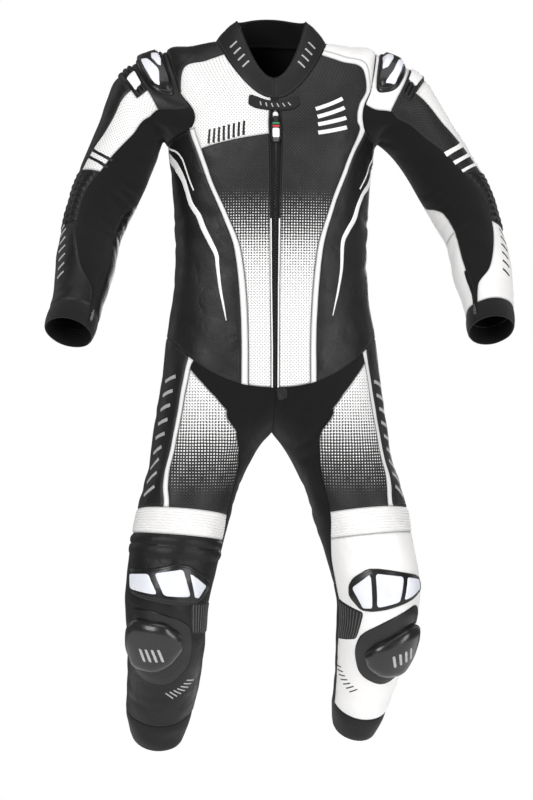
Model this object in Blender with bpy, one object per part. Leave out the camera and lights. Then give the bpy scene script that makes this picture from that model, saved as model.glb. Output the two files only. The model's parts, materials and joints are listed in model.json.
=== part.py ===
# Motorcycle suit, worn shape with no wearer: leather and stretch panels, collar, zips, shoulder and knee armour.
# Metres, +Z up, front to -Y. The origin lies on the wearer's midline, between the shoulders.
import math

import bmesh
import bpy
import mathutils
import numpy as np

# Cloth and fit
WALL = 0.0028             # leather and its backing
SEAM_GAP = 0.0003         # between two panels
LIE = 0.0004              # between a panel and a piece that lies on it
COLLAR_WALL = 0.0030

# Torso rings from the waist seam up to the neck seam
# z_front, z_side, z_back, half_width, front, back, square
TORSO = (
    (-0.662, -0.565, -0.585, 0.203, 0.112, 0.122, 2.3),   # waist seam
    (-0.560, -0.480, -0.490, 0.191, 0.112, 0.106, 2.3),   # belly
    (-0.450, -0.395, -0.395, 0.187, 0.108, 0.097, 2.3),   # waist
    (-0.340, -0.310, -0.300, 0.190, 0.114, 0.101, 2.3),   # midriff
    (-0.245, -0.235, -0.215, 0.197, 0.124, 0.111, 2.35),  # ribs
    (-0.190, -0.172, -0.150, 0.203, 0.127, 0.118, 2.4),   # armpit
    (-0.158, -0.085, -0.095, 0.210, 0.121, 0.114, 2.3),   # middle of the armhole
    (-0.137, -0.006, -0.040, 0.205, 0.112, 0.101, 2.1),   # shoulder point
    (-0.120, 0.006, 0.000, 0.155, 0.103, 0.087, 2.0),     # yoke
    (-0.106, 0.014, 0.020, 0.108, 0.094, 0.072, 2.0),     # neck seam
)
# The collar's rows above the neck seam, the same columns
COLLAR = (
    (-0.086, 0.034, 0.047, 0.090, 0.088, 0.062, 2.0),
    (-0.067, 0.055, 0.068, 0.0685, 0.080, 0.052, 2.0),
)

# Armhole from the armpit, round the front, over the shoulder and down the back, 15 degrees a row: u, v on the torso
ARMHOLE = {
    "right": (
        (90, 4.72), (80, 4.80), (69, 4.90), (59, 5.02), (50, 5.16), (45.5, 5.42), (44.5, 5.68), (47.5, 5.92),
        (56.5, 6.15), (62, 6.45), (70, 6.72), (80, 6.92), (90, 7.00), (101, 6.94), (112, 6.78), (122, 6.52),
        (130, 6.20), (134, 5.95), (135, 5.70), (134, 5.45), (130, 5.22), (121, 5.05), (111, 4.90), (101, 4.78),
    ),
    "left": (
        (90, 4.72), (82, 4.78), (74, 4.88), (66, 5.00), (58, 5.16), (54.5, 5.42), (53.5, 5.66), (55.5, 5.92),
        (62, 6.17), (66, 6.45), (72, 6.72), (81, 6.92), (90, 7.00), (101, 6.94), (112, 6.78), (122, 6.52),
        (130, 6.20), (134, 5.95), (135, 5.70), (134, 5.45), (130, 5.22), (121, 5.05), (111, 4.90), (101, 4.78),
    ),
}

# Torso grid rows: v at the front, the border, the side and the back, then u of the tape edge, the border's
# inner edge (right, left), its outer edge (right, left), the side line and the back seam
TORSO_ROWS = (
    # v_front, v_border, v_side, v_back, tape, in_right, in_left, out_right, out_left, side, back
    (0.00, 0.00, 0.00, 0.00, 1.1, 12.0, 16.8, 15.5, 20.0, 70, 131),
    (0.80, 0.80, 0.80, 0.80, 1.2, 12.8, 17.9, 16.4, 21.3, 76, 130),
    (1.60, 1.60, 1.60, 1.60, 1.4, 14.1, 19.8, 17.9, 23.4, 83, 130),
    (2.40, 2.40, 2.40, 2.40, 1.6, 17.4, 22.8, 21.2, 26.6, 90, 130),
    (3.00, 3.00, 3.00, 3.00, 1.7, 25.2, 29.0, 29.0, 32.6, 90, 130),
    (3.65, 3.62, 3.55, 3.55, 1.8, 34.4, 35.6, 38.0, 39.4, 90, 130),
    (4.42, 4.12, 3.95, 3.95, 1.9, 38.6, 40.4, 42.4, 44.6, 90, 130),
    (5.24, 4.55, 4.32, 4.35, 2.0, 41.2, 44.2, 45.4, 48.8, 90, 130),
    (5.50, 5.24, 4.72, 4.80, 2.1, 45.6, 51.6, 50.0, 58.0, 90, 130),
    (5.80, 5.46, 5.00, 5.25, 2.2, 41.4, 48.4, 45.5, 54.5, 90, 134),
    (6.10, 5.72, 5.70, 5.65, 2.3, 40.6, 48.0, 44.5, 53.5, 90, 135),
    (6.42, 6.00, 6.30, 6.05, 2.4, 43.4, 50.0, 47.5, 55.5, 90, 134),
    (6.80, 6.34, 7.00, 6.45, 2.5, 52.2, 57.4, 56.5, 62.0, 90, 130),
    (7.80, 7.50, 7.90, 7.60, 2.9, 52.6, 57.6, 56.4, 62.6, 90, 133),
    (9.00, 9.00, 9.00, 9.00, 3.6, 55.6, 61.0, 60.0, 67.0, 90, 136),
)
# The waist seam's columns 6 to 12, which the leg seams start from, right and left
WAIST_COLUMNS = {
    "right": (33, 47.0, 51.5, 70, 88, 104, 118),
    "left": (38, 56.5, 61.0, 76, 91, 105, 118),
}
HALF = 18                  # columns from the centre front to the centre back
SIDE_FRONT, SIDE_BACK = 5, 13
HOLE_LOW, HOLE_HIGH = 8, 12
CHEST_ROW, NECK_ROW = 7, 14

# Sleeve rings from the armhole down to the cuff's end
SLEEVE = {
    # centre x, y, z, half_width, half_depth, drop, pitch
    "right": (
        (0.253, -0.002, -0.118, 0.0777, 0.074, 32, 2),
        (0.281, -0.008, -0.187, 0.0650, 0.068, 62, 6),
        (0.3175, -0.022, -0.2767, 0.0655, 0.066, 68, 14),
        (0.3496, -0.062, -0.3677, 0.0565, 0.060, 77, 30),
        (0.3619, -0.112, -0.448, 0.0555, 0.056, 81, 33),
        (0.3756, -0.150, -0.507, 0.0480, 0.050, 77, 34),
        (0.390, -0.188, -0.561, 0.0456, 0.047, 73, 34),
    ),
    "left": (
        (0.255, -0.002, -0.118, 0.0777, 0.074, 32, 2),
        (0.304, -0.008, -0.187, 0.0650, 0.068, 58, 6),
        (0.358, -0.022, -0.2767, 0.0655, 0.066, 65, 14),
        (0.390, -0.062, -0.3657, 0.0565, 0.060, 76, 30),
        (0.3985, -0.112, -0.444, 0.0555, 0.056, 84, 33),
        (0.4035, -0.150, -0.500, 0.0480, 0.050, 84, 34),
        (0.4025, -0.188, -0.555, 0.0456, 0.047, 85, 34),
    ),
}
# Sleeve grid rows: s, then the angle of the rear seam, the stretch panel's outer seam, the arm front's outer
# seam, the elbow's back seam. The first row is the armhole itself.
SLEEVE_ROWS = (
    # s, rear, stretch, front, elbow
    (0.00, -90, 15, 60, 105),
    (0.35, -92, -2, 52, 104),
    (0.72, -98, -12, 36, 103),
    (1.08, -102, -22, 26, 102),
    (1.80, -104, -8, 41, 102),
    (2.58, -104, 14, 60, 102),
    (2.95, -100, 22, 64, 104),
    (3.48, -54, 36, 70, 106),
    (4.10, -48, 35, 72, 104),
    (4.75, -47, 22, 66, 102),
    (5.35, -46, 4, 58, 98),
    (5.85, -45, -28, 50, 96),
    (6.38, -45, -36, 48, 96),
    (7.00, -45, -36, 48, 96),
)
SLEEVE_SEAMS = (0, 7, 10, 13, 24)
ACCORDION_TOP, ACCORDION_END, STRIPE_ROW, ELBOW_END, CUFF_ROW = 2, 3, 6, 8, 12

# Leg rings below the waist seam and the crotch
PHI_FRONT, PHI_BACK = -25.0, 205.0
CROTCH_Z = -0.748
SEAT_BULGE = 0.030
# centre x, y, z, half_width, front, back, tilt, roll
THIGH = (
    (0.1313, -0.004, -0.784, 0.103, 0.100, 0.108, -8, 0),
    (0.158, -0.018, -0.8526, 0.092, 0.094, 0.098, -10, 4),
    (0.174, -0.032, -0.911, 0.0896, 0.090, 0.090, -9, 5),
    (0.1886, -0.046, -0.976, 0.0867, 0.086, 0.082, -4, 5),
    (0.205, -0.054, -1.068, 0.080, 0.084, 0.074, 12, 3),
)
SHIN = {
    "right": (
        (0.206, -0.030, -1.155, 0.075, 0.074, 0.074, 26, 1),
        (0.2100, 0.012, -1.235, 0.070, 0.064, 0.070, 31, 1),
        (0.2190, 0.050, -1.302, 0.063, 0.056, 0.060, 34, 1),
        (0.2215, 0.078, -1.350, 0.051, 0.048, 0.050, 38, 1),
    ),
    "left": (
        (0.197, -0.030, -1.155, 0.072, 0.074, 0.074, 26, -4),
        (0.187, 0.012, -1.232, 0.060, 0.064, 0.070, 32, -5),
        (0.180, 0.052, -1.293, 0.053, 0.056, 0.060, 36, -5),
        (0.174, 0.082, -1.335, 0.044, 0.046, 0.050, 40, -5),
    ),
}
# Leg grid rows: s, then the angle of the front of the inner leg, the thigh front's inner seam, the strip's two
# edges, the back seam and the inner back. The first row is the waist seam and the crotch.
LEG_ROWS = {
    "right": (
        # s, inner, thigh, strip_in, strip_out, back, inner_back
        (0.42, -32, -5, 36.5, 41.5, 122, 208),
        (0.78, -50, -26, 36, 41.5, 118, 212),
        (1.12, -68, -43, 34.5, 40.5, 116, 212),
        (1.65, -86, -57, 32, 38.5, 115, 209),
        (2.25, -96, -65, 27, 34, 115, 206),
        (2.90, -100, -68, 20, 27.5, 115, 204),
        (3.65, -106, -76, 18, 27, 112, 203),
        (4.15, -110, -82, 17, 27, 110, 202),
        (4.65, -112, -84, 17, 27, 108, 202),
        (5.15, -112, -84, 17, 27, 108, 202),
        (5.70, -112, -84, 17, 27, 108, 202),
        (6.30, -112, -84, 17, 27, 108, 202),
        (7.05, -112, -84, 17, 27, 108, 202),
        (7.80, -112, -84, 17, 27, 108, 202),
        (9.00, -112, -84, 17, 27, 108, 202),
    ),
    "left": (
        (0.42, -30, 4, 47.5, 52.5, 124, 208),
        (0.78, -46, -17, 46, 52, 121, 212),
        (1.12, -60, -30, 44.5, 51, 119, 212),
        (1.65, -76, -40, 42, 49, 118, 209),
        (2.25, -86, -45, 37, 45, 118, 206),
        (2.90, -91, -48, 30.5, 39, 118, 204),
        (3.65, -98, -60, 28, 38, 116, 203),
        (4.15, -103, -70, 26, 36, 114, 202),
        (4.65, -107, -76, 24, 34, 112, 202),
        (5.15, -108, -78, 22, 32, 112, 202),
        (5.70, -108, -78, 22, 32, 112, 202),
        (6.30, -108, -78, 22, 32, 112, 202),
        (7.05, -108, -78, 22, 32, 112, 202),
        (7.80, -108, -78, 22, 32, 112, 202),
        (9.00, -108, -78, 22, 32, 112, 202),
    ),
}
# How far down the first row lies at each column, which draws the curved top of the thigh front
APEX_ROW = (0.42, 0.42, 0.42, 0.42, 0.42, 0.27, 0.17, 0.10, 0.10, 0.16, 0.24, 0.32, 0.38, 0.40, 0.40, 0.40,
            0.40, 0.40, 0.42, 0.42, 0.42, 0.42, 0.42, 0.42, 0.42)
LEG_SEAMS = (0, 4, 7, 8, 12, 18, 24)
RIB_ROW, BAND_ROW, PANEL_ROW, STRETCH_END, HEM_ROW, LEG_END = 6, 7, 8, 9, 14, 15

# Ribs: number and height
KNEE_RIBS, KNEE_RIB_HEIGHT = 10, 0.0022
QUILT_RIBS, QUILT_HEIGHT = 3, 0.0016
SHOULDER_RIBS, SHOULDER_RIB_HEIGHT = 3, 0.0022
ELBOW_RIBS, ELBOW_RIB_HEIGHT = 7, 0.0018

# Pieces that lie on the panels, as outlines in the surface's own angle and row
COLLAR_TAB = ((-21, 8.42), (-14, 7.16), (13, 7.16), (20, 8.42))
COLLAR_TAB_THICK = 0.0030
ZIP_SLIDER = ((-1.25, 6.24), (1.25, 6.24), (1.25, 6.95), (-1.25, 6.95))
ZIP_SLIDER_THICK = 0.0050
GARAGE = ((-24.6, 0.012), (-18.9, 0.014), (-24.2, 0.225), (-31.9, 0.062))
GARAGE_THICK = 0.0022
SHOULDER_CUP = {
    "right": ((22, 0.16), (17, 0.62), (50, 0.66), (84, 0.62), (118, 0.62), (132, 0.36), (118, 0.12), (86, 0.07),
              (50, 0.07)),
    "left": ((26, 0.14), (22, 0.60), (50, 0.66), (84, 0.62), (118, 0.62), (132, 0.36), (118, 0.12), (86, 0.07),
             (50, 0.06)),
}
CUP_PROFILE = ((1.0, 0.0050), (0.78, 0.0125), (0.40, 0.0150))
KNEE_PLATE = {
    "right": ((70, 4.40), (44, 4.40), (-14, 4.20), (-66, 4.56), (-60, 4.74), (-42, 4.92), (60, 4.82), (72, 4.62)),
    "left": ((-50, 4.80), (-46, 4.60), (-36, 4.46), (-9, 4.30), (68, 4.56), (75, 4.70), (74, 4.86), (-29, 5.06)),
}
PLATE_PROFILE = ((1.0, 0.0030), (0.80, 0.0055))
SLIDER_BASE = {
    "right": ((64, 5.04), (10, 5.00), (-36, 5.26), (-38, 5.60), (-34, 6.08), (-4, 6.52), (36, 6.50), (66, 6.20),
              (74, 5.60)),
    "left": ((-32, 5.46), (10, 5.14), (56, 5.00), (72, 5.24), (76, 5.88), (50, 6.40), (19, 6.62), (-24, 6.40),
             (-38, 5.92)),
}
BASE_THICK = 0.0030
KNEE_SLIDER = {
    "right": ((58, 5.36), (44, 5.18), (2, 5.18), (-20, 5.40), (-22, 5.66), (-6, 5.98), (14, 6.18), (50, 6.18),
              (64, 5.80)),
    "left": ((-20, 5.84), (-8, 5.62), (33, 5.38), (62, 5.38), (70, 5.66), (66, 5.98), (44, 6.34), (8, 6.30),
             (-14, 6.10)),
}
SLIDER_PROFILE = ((1.0, 0.0060), (0.80, 0.0150), (0.45, 0.0190))
CUFF_ZIP = ((-52, 5.20), (-41, 5.20), (-36, 6.10), (-36, 6.93), (-47, 6.93), (-47, 6.10))
CUFF_ZIP_THICK = 0.0020

# Pulls: length, width, thickness
ZIP_PULL = (0.052, 0.018, 0.0030)
CUFF_PULL = (0.024, 0.0064, 0.0022)
PULL_NECK = 0.45
ZIP_PULL_CLEAR, CUFF_PULL_CLEAR = 0.0008, 0.0010
# A short step down the body and down the sleeve, in the surface's own rows
PROBE = {"torso": 0.10, "sleeve": -0.05}
ZIP_TIP_RISE, CUFF_TIP_RISE = 0.0045, 0.0008
ZIP_TIP_V = 5.30
ZIP_HINGE_V = 6.36
CUFF_HINGE = (-41.5, 6.46)

bpy.context.scene.unit_settings.system = "METRIC"
for old in list(bpy.data.objects):
    bpy.data.objects.remove(old, do_unlink=True)


# Surfaces

def blend(a, b, slope_a, slope_b, f):
    """A smooth step from a to b with the given slopes at its ends."""
    return ((1 + 2 * f) * (1 - f) ** 2 * a + f * (1 - f) ** 2 * slope_a
            + f * f * (3 - 2 * f) * b - f * f * (1 - f) * slope_b)


def smooth_rows(rows, t):
    """Values through a table's rows at the places t, counted in rows."""
    rows = np.asarray(rows, float)
    t = np.clip(np.asarray(t, float), 0, len(rows) - 1)
    slope = np.gradient(rows, axis=0)
    k = np.minimum(t.astype(int), len(rows) - 2)
    f = (t - k)[..., None]
    return blend(rows[k], rows[k + 1], slope[k], slope[k + 1], f)


def smooth_rings(rings, s):
    """One point for each column of the rings, at its own place s between them."""
    rings = np.stack(rings)
    slope = np.gradient(rings, axis=0)
    s = np.clip(s, 0, len(rings) - 1)
    k = np.minimum(s.astype(int), len(rings) - 2)
    i = np.arange(rings.shape[1])
    return blend(rings[k, i], rings[k + 1, i], slope[k, i], slope[k + 1, i], (s - k)[:, None])


def signed_power(x, e):
    return np.sign(x) * np.abs(x) ** e


def ring_point(row, u):
    """Point on a body ring: u is 0 at the centre front, 90 at the side, 180 at the centre back."""
    z_front, z_side, z_back, half_width, front, back, square = np.moveaxis(row, -1, 0)
    c = np.cos(np.radians(u))
    s = np.sin(np.radians(u))
    e = 2 / square
    x = half_width * signed_power(s, e)
    y = -np.where(c > 0, front, back) * signed_power(c, e)
    z = z_side + (np.where(c > 0, z_front, z_back) - z_side) * c * c
    return np.stack([x, y, z], -1)


def torso(u, v):
    """Left half of the torso: v counts the rings, from 0 at the waist seam to 9 at the neck seam."""
    return ring_point(smooth_rows(TORSO, v), u)


def armhole(phi, side):
    """Place on the torso of the armhole: -90 armpit, 0 front, 90 shoulder, 180 back."""
    table = np.asarray(ARMHOLE[side], float)
    count = len(table)
    t = ((phi + 90) / (360 / count)) % count
    k = t.astype(int)
    f = (t - k)[:, None]
    before, a, b, after = (table[(k + i) % count] for i in (-1, 0, 1, 2))
    uv = blend(a, b, (b - before) / 2, (after - a) / 2, f)
    return uv[:, 0], uv[:, 1]


def sleeve_ring(row, phi):
    x, y, z, half_width, half_depth, drop, pitch = row
    a = math.radians(drop)
    p = math.radians(pitch)
    along = np.array([math.cos(a) * math.cos(p), -math.sin(p), -math.sin(a) * math.cos(p)])
    front = np.cross(along, np.array([math.sin(a), 0, math.cos(a)]))
    front = front / np.linalg.norm(front)
    out = np.cross(front, along)
    r = np.radians(phi)[:, None]
    return np.array([x, y, z]) + out * half_width * np.sin(r) + front * half_depth * np.cos(r)


def sleeve(phi, s, side):
    """Sleeve on the +X side: s counts the rings, from 0 at the armhole to 7 at the cuff's end."""
    u, v = armhole(phi, side)
    rings = [torso(u, v)]
    for row in SLEEVE[side]:
        rings.append(sleeve_ring(row, phi))
    return smooth_rings(rings, s)


def leg_top(phi):
    """The waist seam on the outside and the crotch seam on the inside."""
    u = np.clip((phi - PHI_FRONT) / (PHI_BACK - PHI_FRONT), 0, 1) * 180
    outside = torso(u, np.zeros_like(u))
    front, back = torso(np.array([0.0, 180.0]), np.zeros(2))
    r = np.radians(np.clip((phi - PHI_BACK) / (360 + PHI_FRONT - PHI_BACK), 0, 1) * 180)
    y = (front[1] + back[1]) / 2 + (back[1] - front[1]) / 2 * signed_power(np.cos(r), 0.9)
    top = back[2] + (front[2] - back[2]) * (1 - np.cos(r)) / 2
    z = top + (CROTCH_Z - top) * np.abs(np.sin(r)) ** 0.8
    inside = np.stack([np.zeros_like(y), y, z], -1)
    return np.where((phi <= PHI_BACK)[:, None], outside, inside)


def leg_ring(row, phi):
    x, y, z, half_width, front, back, tilt, roll = row
    t = math.radians(tilt)
    o = math.radians(roll)
    forward = np.array([0, -math.cos(t), -math.sin(t)])
    sideways = np.array([math.cos(o), 0, math.sin(o)])
    c = np.cos(np.radians(phi))[:, None]
    s = np.sin(np.radians(phi))[:, None]
    return np.array([x, y, z]) + sideways * half_width * s + forward * np.where(c > 0, front, back) * c


def leg(phi, s, side):
    """Leg on the +X side: s counts the rings, from 0 at the waist seam to 9 at the hem's end."""
    phi = (phi - PHI_FRONT) % 360 + PHI_FRONT
    rings = [leg_top(phi)]
    for row in THIGH + SHIN[side]:
        rings.append(leg_ring(row, phi))
    out = smooth_rings(rings, s)
    outside = (phi - PHI_FRONT) / (PHI_BACK - PHI_FRONT)
    inside = (360 + PHI_FRONT - phi) / (360 + PHI_FRONT - PHI_BACK)
    turn = np.minimum(outside, inside) * math.pi
    out[:, 1] += SEAT_BULGE * np.sin(math.pi * np.clip(s, 0, 1)) * np.maximum(0, -np.cos(turn)) ** 1.5
    return out


# Grids: rows and columns that the seams follow

def spread(seams, values, columns):
    """A value at each column, even between the seams."""
    return np.interp(np.arange(columns + 1), seams, values)


def torso_grid(side):
    """u and v of every row and column of one half of the torso."""
    pick = 0 if side == "right" else 1
    u = np.zeros((len(TORSO_ROWS), HALF + 1))
    v = np.zeros_like(u)
    for r, row in enumerate(TORSO_ROWS):
        v_front, v_border, v_side, v_back, tape = row[:5]
        inner, outer, flank, back = row[5 + pick], row[7 + pick], row[9], row[10]
        u[r] = spread((0, 1, 4, 5, 9, 13, 18), (0, tape, inner, outer, flank, back, 180), HALF)
        v[r] = spread((0, 1, 4, 5, 9, 13, 18), (v_front, v_front, v_border, v_border, v_side, v_back, v_back), HALF)
        share = max(0.0, 1 - r / 4)
        u[r, 6:13] = share * np.array(WAIST_COLUMNS[side]) + (1 - share) * u[r, 6:13]
    loop = armhole_cells()
    for (r, c), (hole_u, hole_v) in zip(loop, ARMHOLE[side]):
        u[r, c] = hole_u
        v[r, c] = hole_v
    return u, v


def armhole_cells():
    """Row and column of each armhole point, in the order of the armhole's table."""
    front = [(HOLE_LOW, c) for c in range(9, SIDE_FRONT, -1)]
    front += [(r, SIDE_FRONT) for r in range(HOLE_LOW, HOLE_HIGH)]
    top = [(HOLE_HIGH, c) for c in range(SIDE_FRONT, SIDE_BACK)]
    back = [(r, SIDE_BACK) for r in range(HOLE_HIGH, HOLE_LOW, -1)]
    return front + top + back + [(HOLE_LOW, c) for c in range(SIDE_BACK, 9, -1)]


def sleeve_grid():
    phi = np.zeros((len(SLEEVE_ROWS), 25))
    s = np.zeros_like(phi)
    for r, (place, rear, stretch, front, elbow) in enumerate(SLEEVE_ROWS):
        phi[r] = spread(SLEEVE_SEAMS, (rear, stretch, front, elbow, rear + 360), 24)
        s[r] = place
    return phi, s


def leg_grid(side):
    rows = LEG_ROWS[side]
    phi = np.zeros((len(rows) + 1, 25))
    s = np.zeros_like(phi)
    u, _ = torso_grid(side)
    phi[0, :HALF + 1] = PHI_FRONT + (PHI_BACK - PHI_FRONT) * u[0] / 180
    phi[0, HALF:] = np.linspace(PHI_BACK, 360 + PHI_FRONT, 7)
    for r, (place, inner, thigh, strip_in, strip_out, back, inner_back) in enumerate(rows, 1):
        values = (inner, thigh, strip_in, strip_out, back, inner_back, inner + 360)
        phi[r] = spread(LEG_SEAMS, values, 24)
        s[r] = place
    s[1] = APEX_ROW
    return phi, s


class Sheet:
    """A grid of surface points with its two surface coordinates, and the sign of its X side."""

    def __init__(self, name, points, across, down, flip):
        self.name = name
        self.points = points
        self.across = across
        self.down = down
        self.flip = flip

    def triangles(self, r, c, step=1.0):
        """The two triangles of a cell, or of a slice of it, each facing away from the wearer."""
        a, b, d, e = (r, c), (r, c + 1), (r + step, c + 1), (r + step, c)
        pair = ((a, b, d), (a, d, e))
        return [tri[::-1] for tri in pair] if self.flip else list(pair)


def point_key(p):
    return tuple(np.round(p, 6))


def make_torso_sheet(side, sign):
    u, v = torso_grid(side)
    return Sheet("torso", torso(u, v) * (sign, 1, 1), u * sign, v, sign < 0)


def make_collar_sheet(side, sign):
    u, _ = torso_grid(side)
    rows = [torso(u[NECK_ROW], np.full(HALF + 1, 9.0))]
    for row in COLLAR:
        rows.append(ring_point(np.tile(np.array(row), (HALF + 1, 1)), u[NECK_ROW]))
    down = np.repeat(np.arange(3.0)[:, None], HALF + 1, 1)
    return Sheet("collar", np.stack(rows) * (sign, 1, 1), np.tile(u[NECK_ROW], (3, 1)) * sign, down, sign < 0)


def make_sleeve_sheet(side, sign):
    phi, s = sleeve_grid()
    points = sleeve(phi.ravel(), s.ravel(), side).reshape(phi.shape + (3,))
    return Sheet("sleeve", points * (sign, 1, 1), phi, s, sign > 0)


def make_leg_sheet(side, sign):
    phi, s = leg_grid(side)
    points = leg(phi.ravel(), s.ravel(), side).reshape(phi.shape + (3,))
    return Sheet("leg", points * (sign, 1, 1), phi, s, sign > 0)


# Cells: which grid cells each panel takes

def block(rows, columns):
    """Cells from the first row or column up to the last, which is left out."""
    return [(r, c) for r in range(*rows) for c in range(*columns)]


def in_armhole(r, c):
    return HOLE_LOW <= r < HOLE_HIGH and SIDE_FRONT <= c < SIDE_BACK


SIDES = {"R": "right", "L": "left"}
SHEETS = {}
for side_name, x_sign in (("right", -1), ("left", 1)):
    SHEETS["torso", side_name] = make_torso_sheet(side_name, x_sign)
    SHEETS["collar", side_name] = make_collar_sheet(side_name, x_sign)
    SHEETS["sleeve", side_name] = make_sleeve_sheet(side_name, x_sign)
    SHEETS["leg", side_name] = make_leg_sheet(side_name, x_sign)


def sheet_cells(kind, sheet):
    rows, columns = sheet.across.shape
    cells = block((0, rows - 1), (0, columns - 1))
    if kind == "torso":
        cells = [cell for cell in cells if not in_armhole(*cell)]
    return cells


def face_normal(corners):
    return np.cross(corners[1] - corners[0], corners[2] - corners[0]) / 2


def gather_normals():
    """Mean outward normal of all the faces that meet at each point, lengthened where the cloth turns."""
    total = {}
    faces = {}
    for (kind, _), sheet in SHEETS.items():
        for r, c in sheet_cells(kind, sheet):
            for tri in sheet.triangles(r, c, 1):
                corners = [sheet.points[q] for q in tri]
                normal = face_normal(corners)
                for p in corners:
                    key = point_key(p)
                    total[key] = total.get(key, 0) + normal
                    faces.setdefault(key, []).append(normal)
    result = {}
    for key, vector in total.items():
        n = vector / np.linalg.norm(vector)
        share = [float(n @ f / np.linalg.norm(f)) for f in faces[key] if np.linalg.norm(f) > 1e-9]
        result[key] = n / max(0.7, sum(share) / len(share))
    return result


NORMALS = gather_normals()


# Solids

def new_object(name, points, faces, smooth=40):
    mesh = bpy.data.meshes.new(name)
    mesh.from_pydata([tuple(p) for p in points], [], faces)
    bm = bmesh.new()
    bm.from_mesh(mesh)
    bmesh.ops.triangulate(bm, faces=bm.faces[:])
    bmesh.ops.recalc_face_normals(bm, faces=bm.faces[:])
    bm.to_mesh(mesh)
    bm.free()
    mesh.shade_smooth()
    mesh.set_sharp_from_angle(angle=math.radians(smooth))
    material = bpy.data.materials.new(name)
    material.use_nodes = True
    shader = material.node_tree.nodes["Principled BSDF"]
    color, roughness, metallic = LOOKS[look_of(name)]
    shader.inputs["Base Color"].default_value = (*color, 1)
    shader.inputs["Roughness"].default_value = roughness
    shader.inputs["Metallic"].default_value = metallic
    material.diffuse_color = (*color, 1)
    mesh.materials.append(material)
    obj = bpy.data.objects.new(name, mesh)
    bpy.context.scene.collection.objects.link(obj)
    return obj


def rim_edges(faces):
    """Directed edges that only one face has."""
    seen = {}
    for index, face in enumerate(faces):
        for a, b in zip(face, face[1:] + face[:1]):
            seen[a, b] = index
    return {edge: index for edge, index in seen.items() if edge[::-1] not in seen}


def rim_shifts(points, faces):
    """Small move of each rim point into its own panel, which leaves the gap of a seam."""
    moves = {}
    for (a, b), index in rim_edges(faces).items():
        normal = face_normal([points[i] for i in faces[index]])
        inward = np.cross(normal, points[b] - points[a])
        inward = inward / np.linalg.norm(inward)
        for i in (a, b):
            moves.setdefault(i, []).append(inward)
    shifts = {}
    for i, vectors in moves.items():
        mean = sum(vectors) / len(vectors)
        shifts[i] = mean * (SEAM_GAP / 2) / max(0.35, float(mean @ mean))
    return shifts


def wall_solid(name, points, normals, faces, rise=None, wall=WALL):
    """A panel as a closed wall: its outer faces, its inner faces and the rims between them."""
    shifts = rim_shifts(points, faces)
    outer = []
    inner = []
    for i, (p, n) in enumerate(zip(points, normals)):
        base = p + shifts.get(i, 0)
        outer.append(base + n * (rise[i] if rise is not None else 0))
        inner.append(base - n * wall)
    count = len(points)
    solid = list(faces)
    solid += [tuple(i + count for i in reversed(face)) for face in faces]
    solid += [(b, a, a + count, b + count) for a, b in rim_edges(faces)]
    return new_object(name, outer + inner, solid)


def panel(name, parts, wall=WALL, ribs=0, rib_height=0.0, rib_rows=None):
    """A panel from cells of one sheet or more. Ribs run across the columns, in the rib rows only."""
    index = {}
    points = []
    normals = []
    rise = []
    faces = []
    for kind, side, cells in parts:
        sheet = SHEETS[kind, side]
        ribbed = rib_rows or (min(r for r, _ in cells), max(r for r, _ in cells) + 1)
        for r, c in cells:
            slices = 1
            if ribs and ribbed[0] <= r < ribbed[1]:
                slices = 2 * ribs // (ribbed[1] - ribbed[0])
            for j in range(slices):
                for tri in sheet.triangles(r + j / slices, c, 1 / slices):
                    corners = []
                    for row, column in tri:
                        p, n = between_rows(sheet, row, column)
                        key = point_key(p)
                        if kind == "collar" and column == 0:
                            key = (key, side)
                        if key not in index:
                            index[key] = len(points)
                            points.append(p)
                            normals.append(n)
                            crest = slices > 1 and round((row - ribbed[0]) * slices) % 2
                            rise.append(rib_height if crest else 0.0)
                        corners.append(index[key])
                    faces.append(tuple(corners))
    return wall_solid(name, points, normals, faces, rise, wall)


def between_rows(sheet, row, column):
    """Point and normal on the straight line between two grid rows."""
    r = min(int(row + 1e-6), len(sheet.points) - 2)
    f = row - r
    top, low = sheet.points[r, column], sheet.points[r + 1, column]
    n_top, n_low = (NORMALS.get(point_key(p), np.zeros(3)) for p in (top, low))
    return top + (low - top) * f, n_top + (n_low - n_top) * f


def inside_polygon(x, y, outline):
    inside = False
    for (x0, y0), (x1, y1) in zip(outline, outline[1:] + outline[:1]):
        if (y0 > y) != (y1 > y) and x < (x1 - x0) * (y - y0) / (y1 - y0) + x0:
            inside = not inside
    return inside


def facets(parts):
    """Triangles of a sheet's cells in surface coordinates, with their points and normals."""
    flat = []
    solid = []
    normal = []
    for sheet, cells in parts:
        turns = (0, -360) if sheet.name in ("sleeve", "leg") else (0,)
        for turn in turns:
            for r, c in cells:
                for tri in sheet.triangles(r, c, 1):
                    flat.append([((sheet.across[q] + turn) / 100, sheet.down[q]) for q in tri])
                    solid.append([sheet.points[q] for q in tri])
                    normal.append([NORMALS[point_key(sheet.points[q])] for q in tri])
    return np.array(flat), np.array(solid), np.array(normal)


def locate(flat, solid, normal, x, y):
    """Point and normal of the facets at one place in surface coordinates."""
    a, b, c = flat[:, 0], flat[:, 1], flat[:, 2]
    area = (b[:, 0] - a[:, 0]) * (c[:, 1] - a[:, 1]) - (c[:, 0] - a[:, 0]) * (b[:, 1] - a[:, 1])
    safe = np.where(np.abs(area) < 1e-12, 1e-12, area)
    wb = ((x - a[:, 0]) * (c[:, 1] - a[:, 1]) - (c[:, 0] - a[:, 0]) * (y - a[:, 1])) / safe
    wc = ((b[:, 0] - a[:, 0]) * (y - a[:, 1]) - (x - a[:, 0]) * (b[:, 1] - a[:, 1])) / safe
    wa = 1 - wb - wc
    k = int(np.argmax(np.minimum(np.minimum(wa, wb), wc)))
    weights = np.array([wa[k], wb[k], wc[k]])
    return weights @ solid[k], weights @ normal[k]


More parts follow.
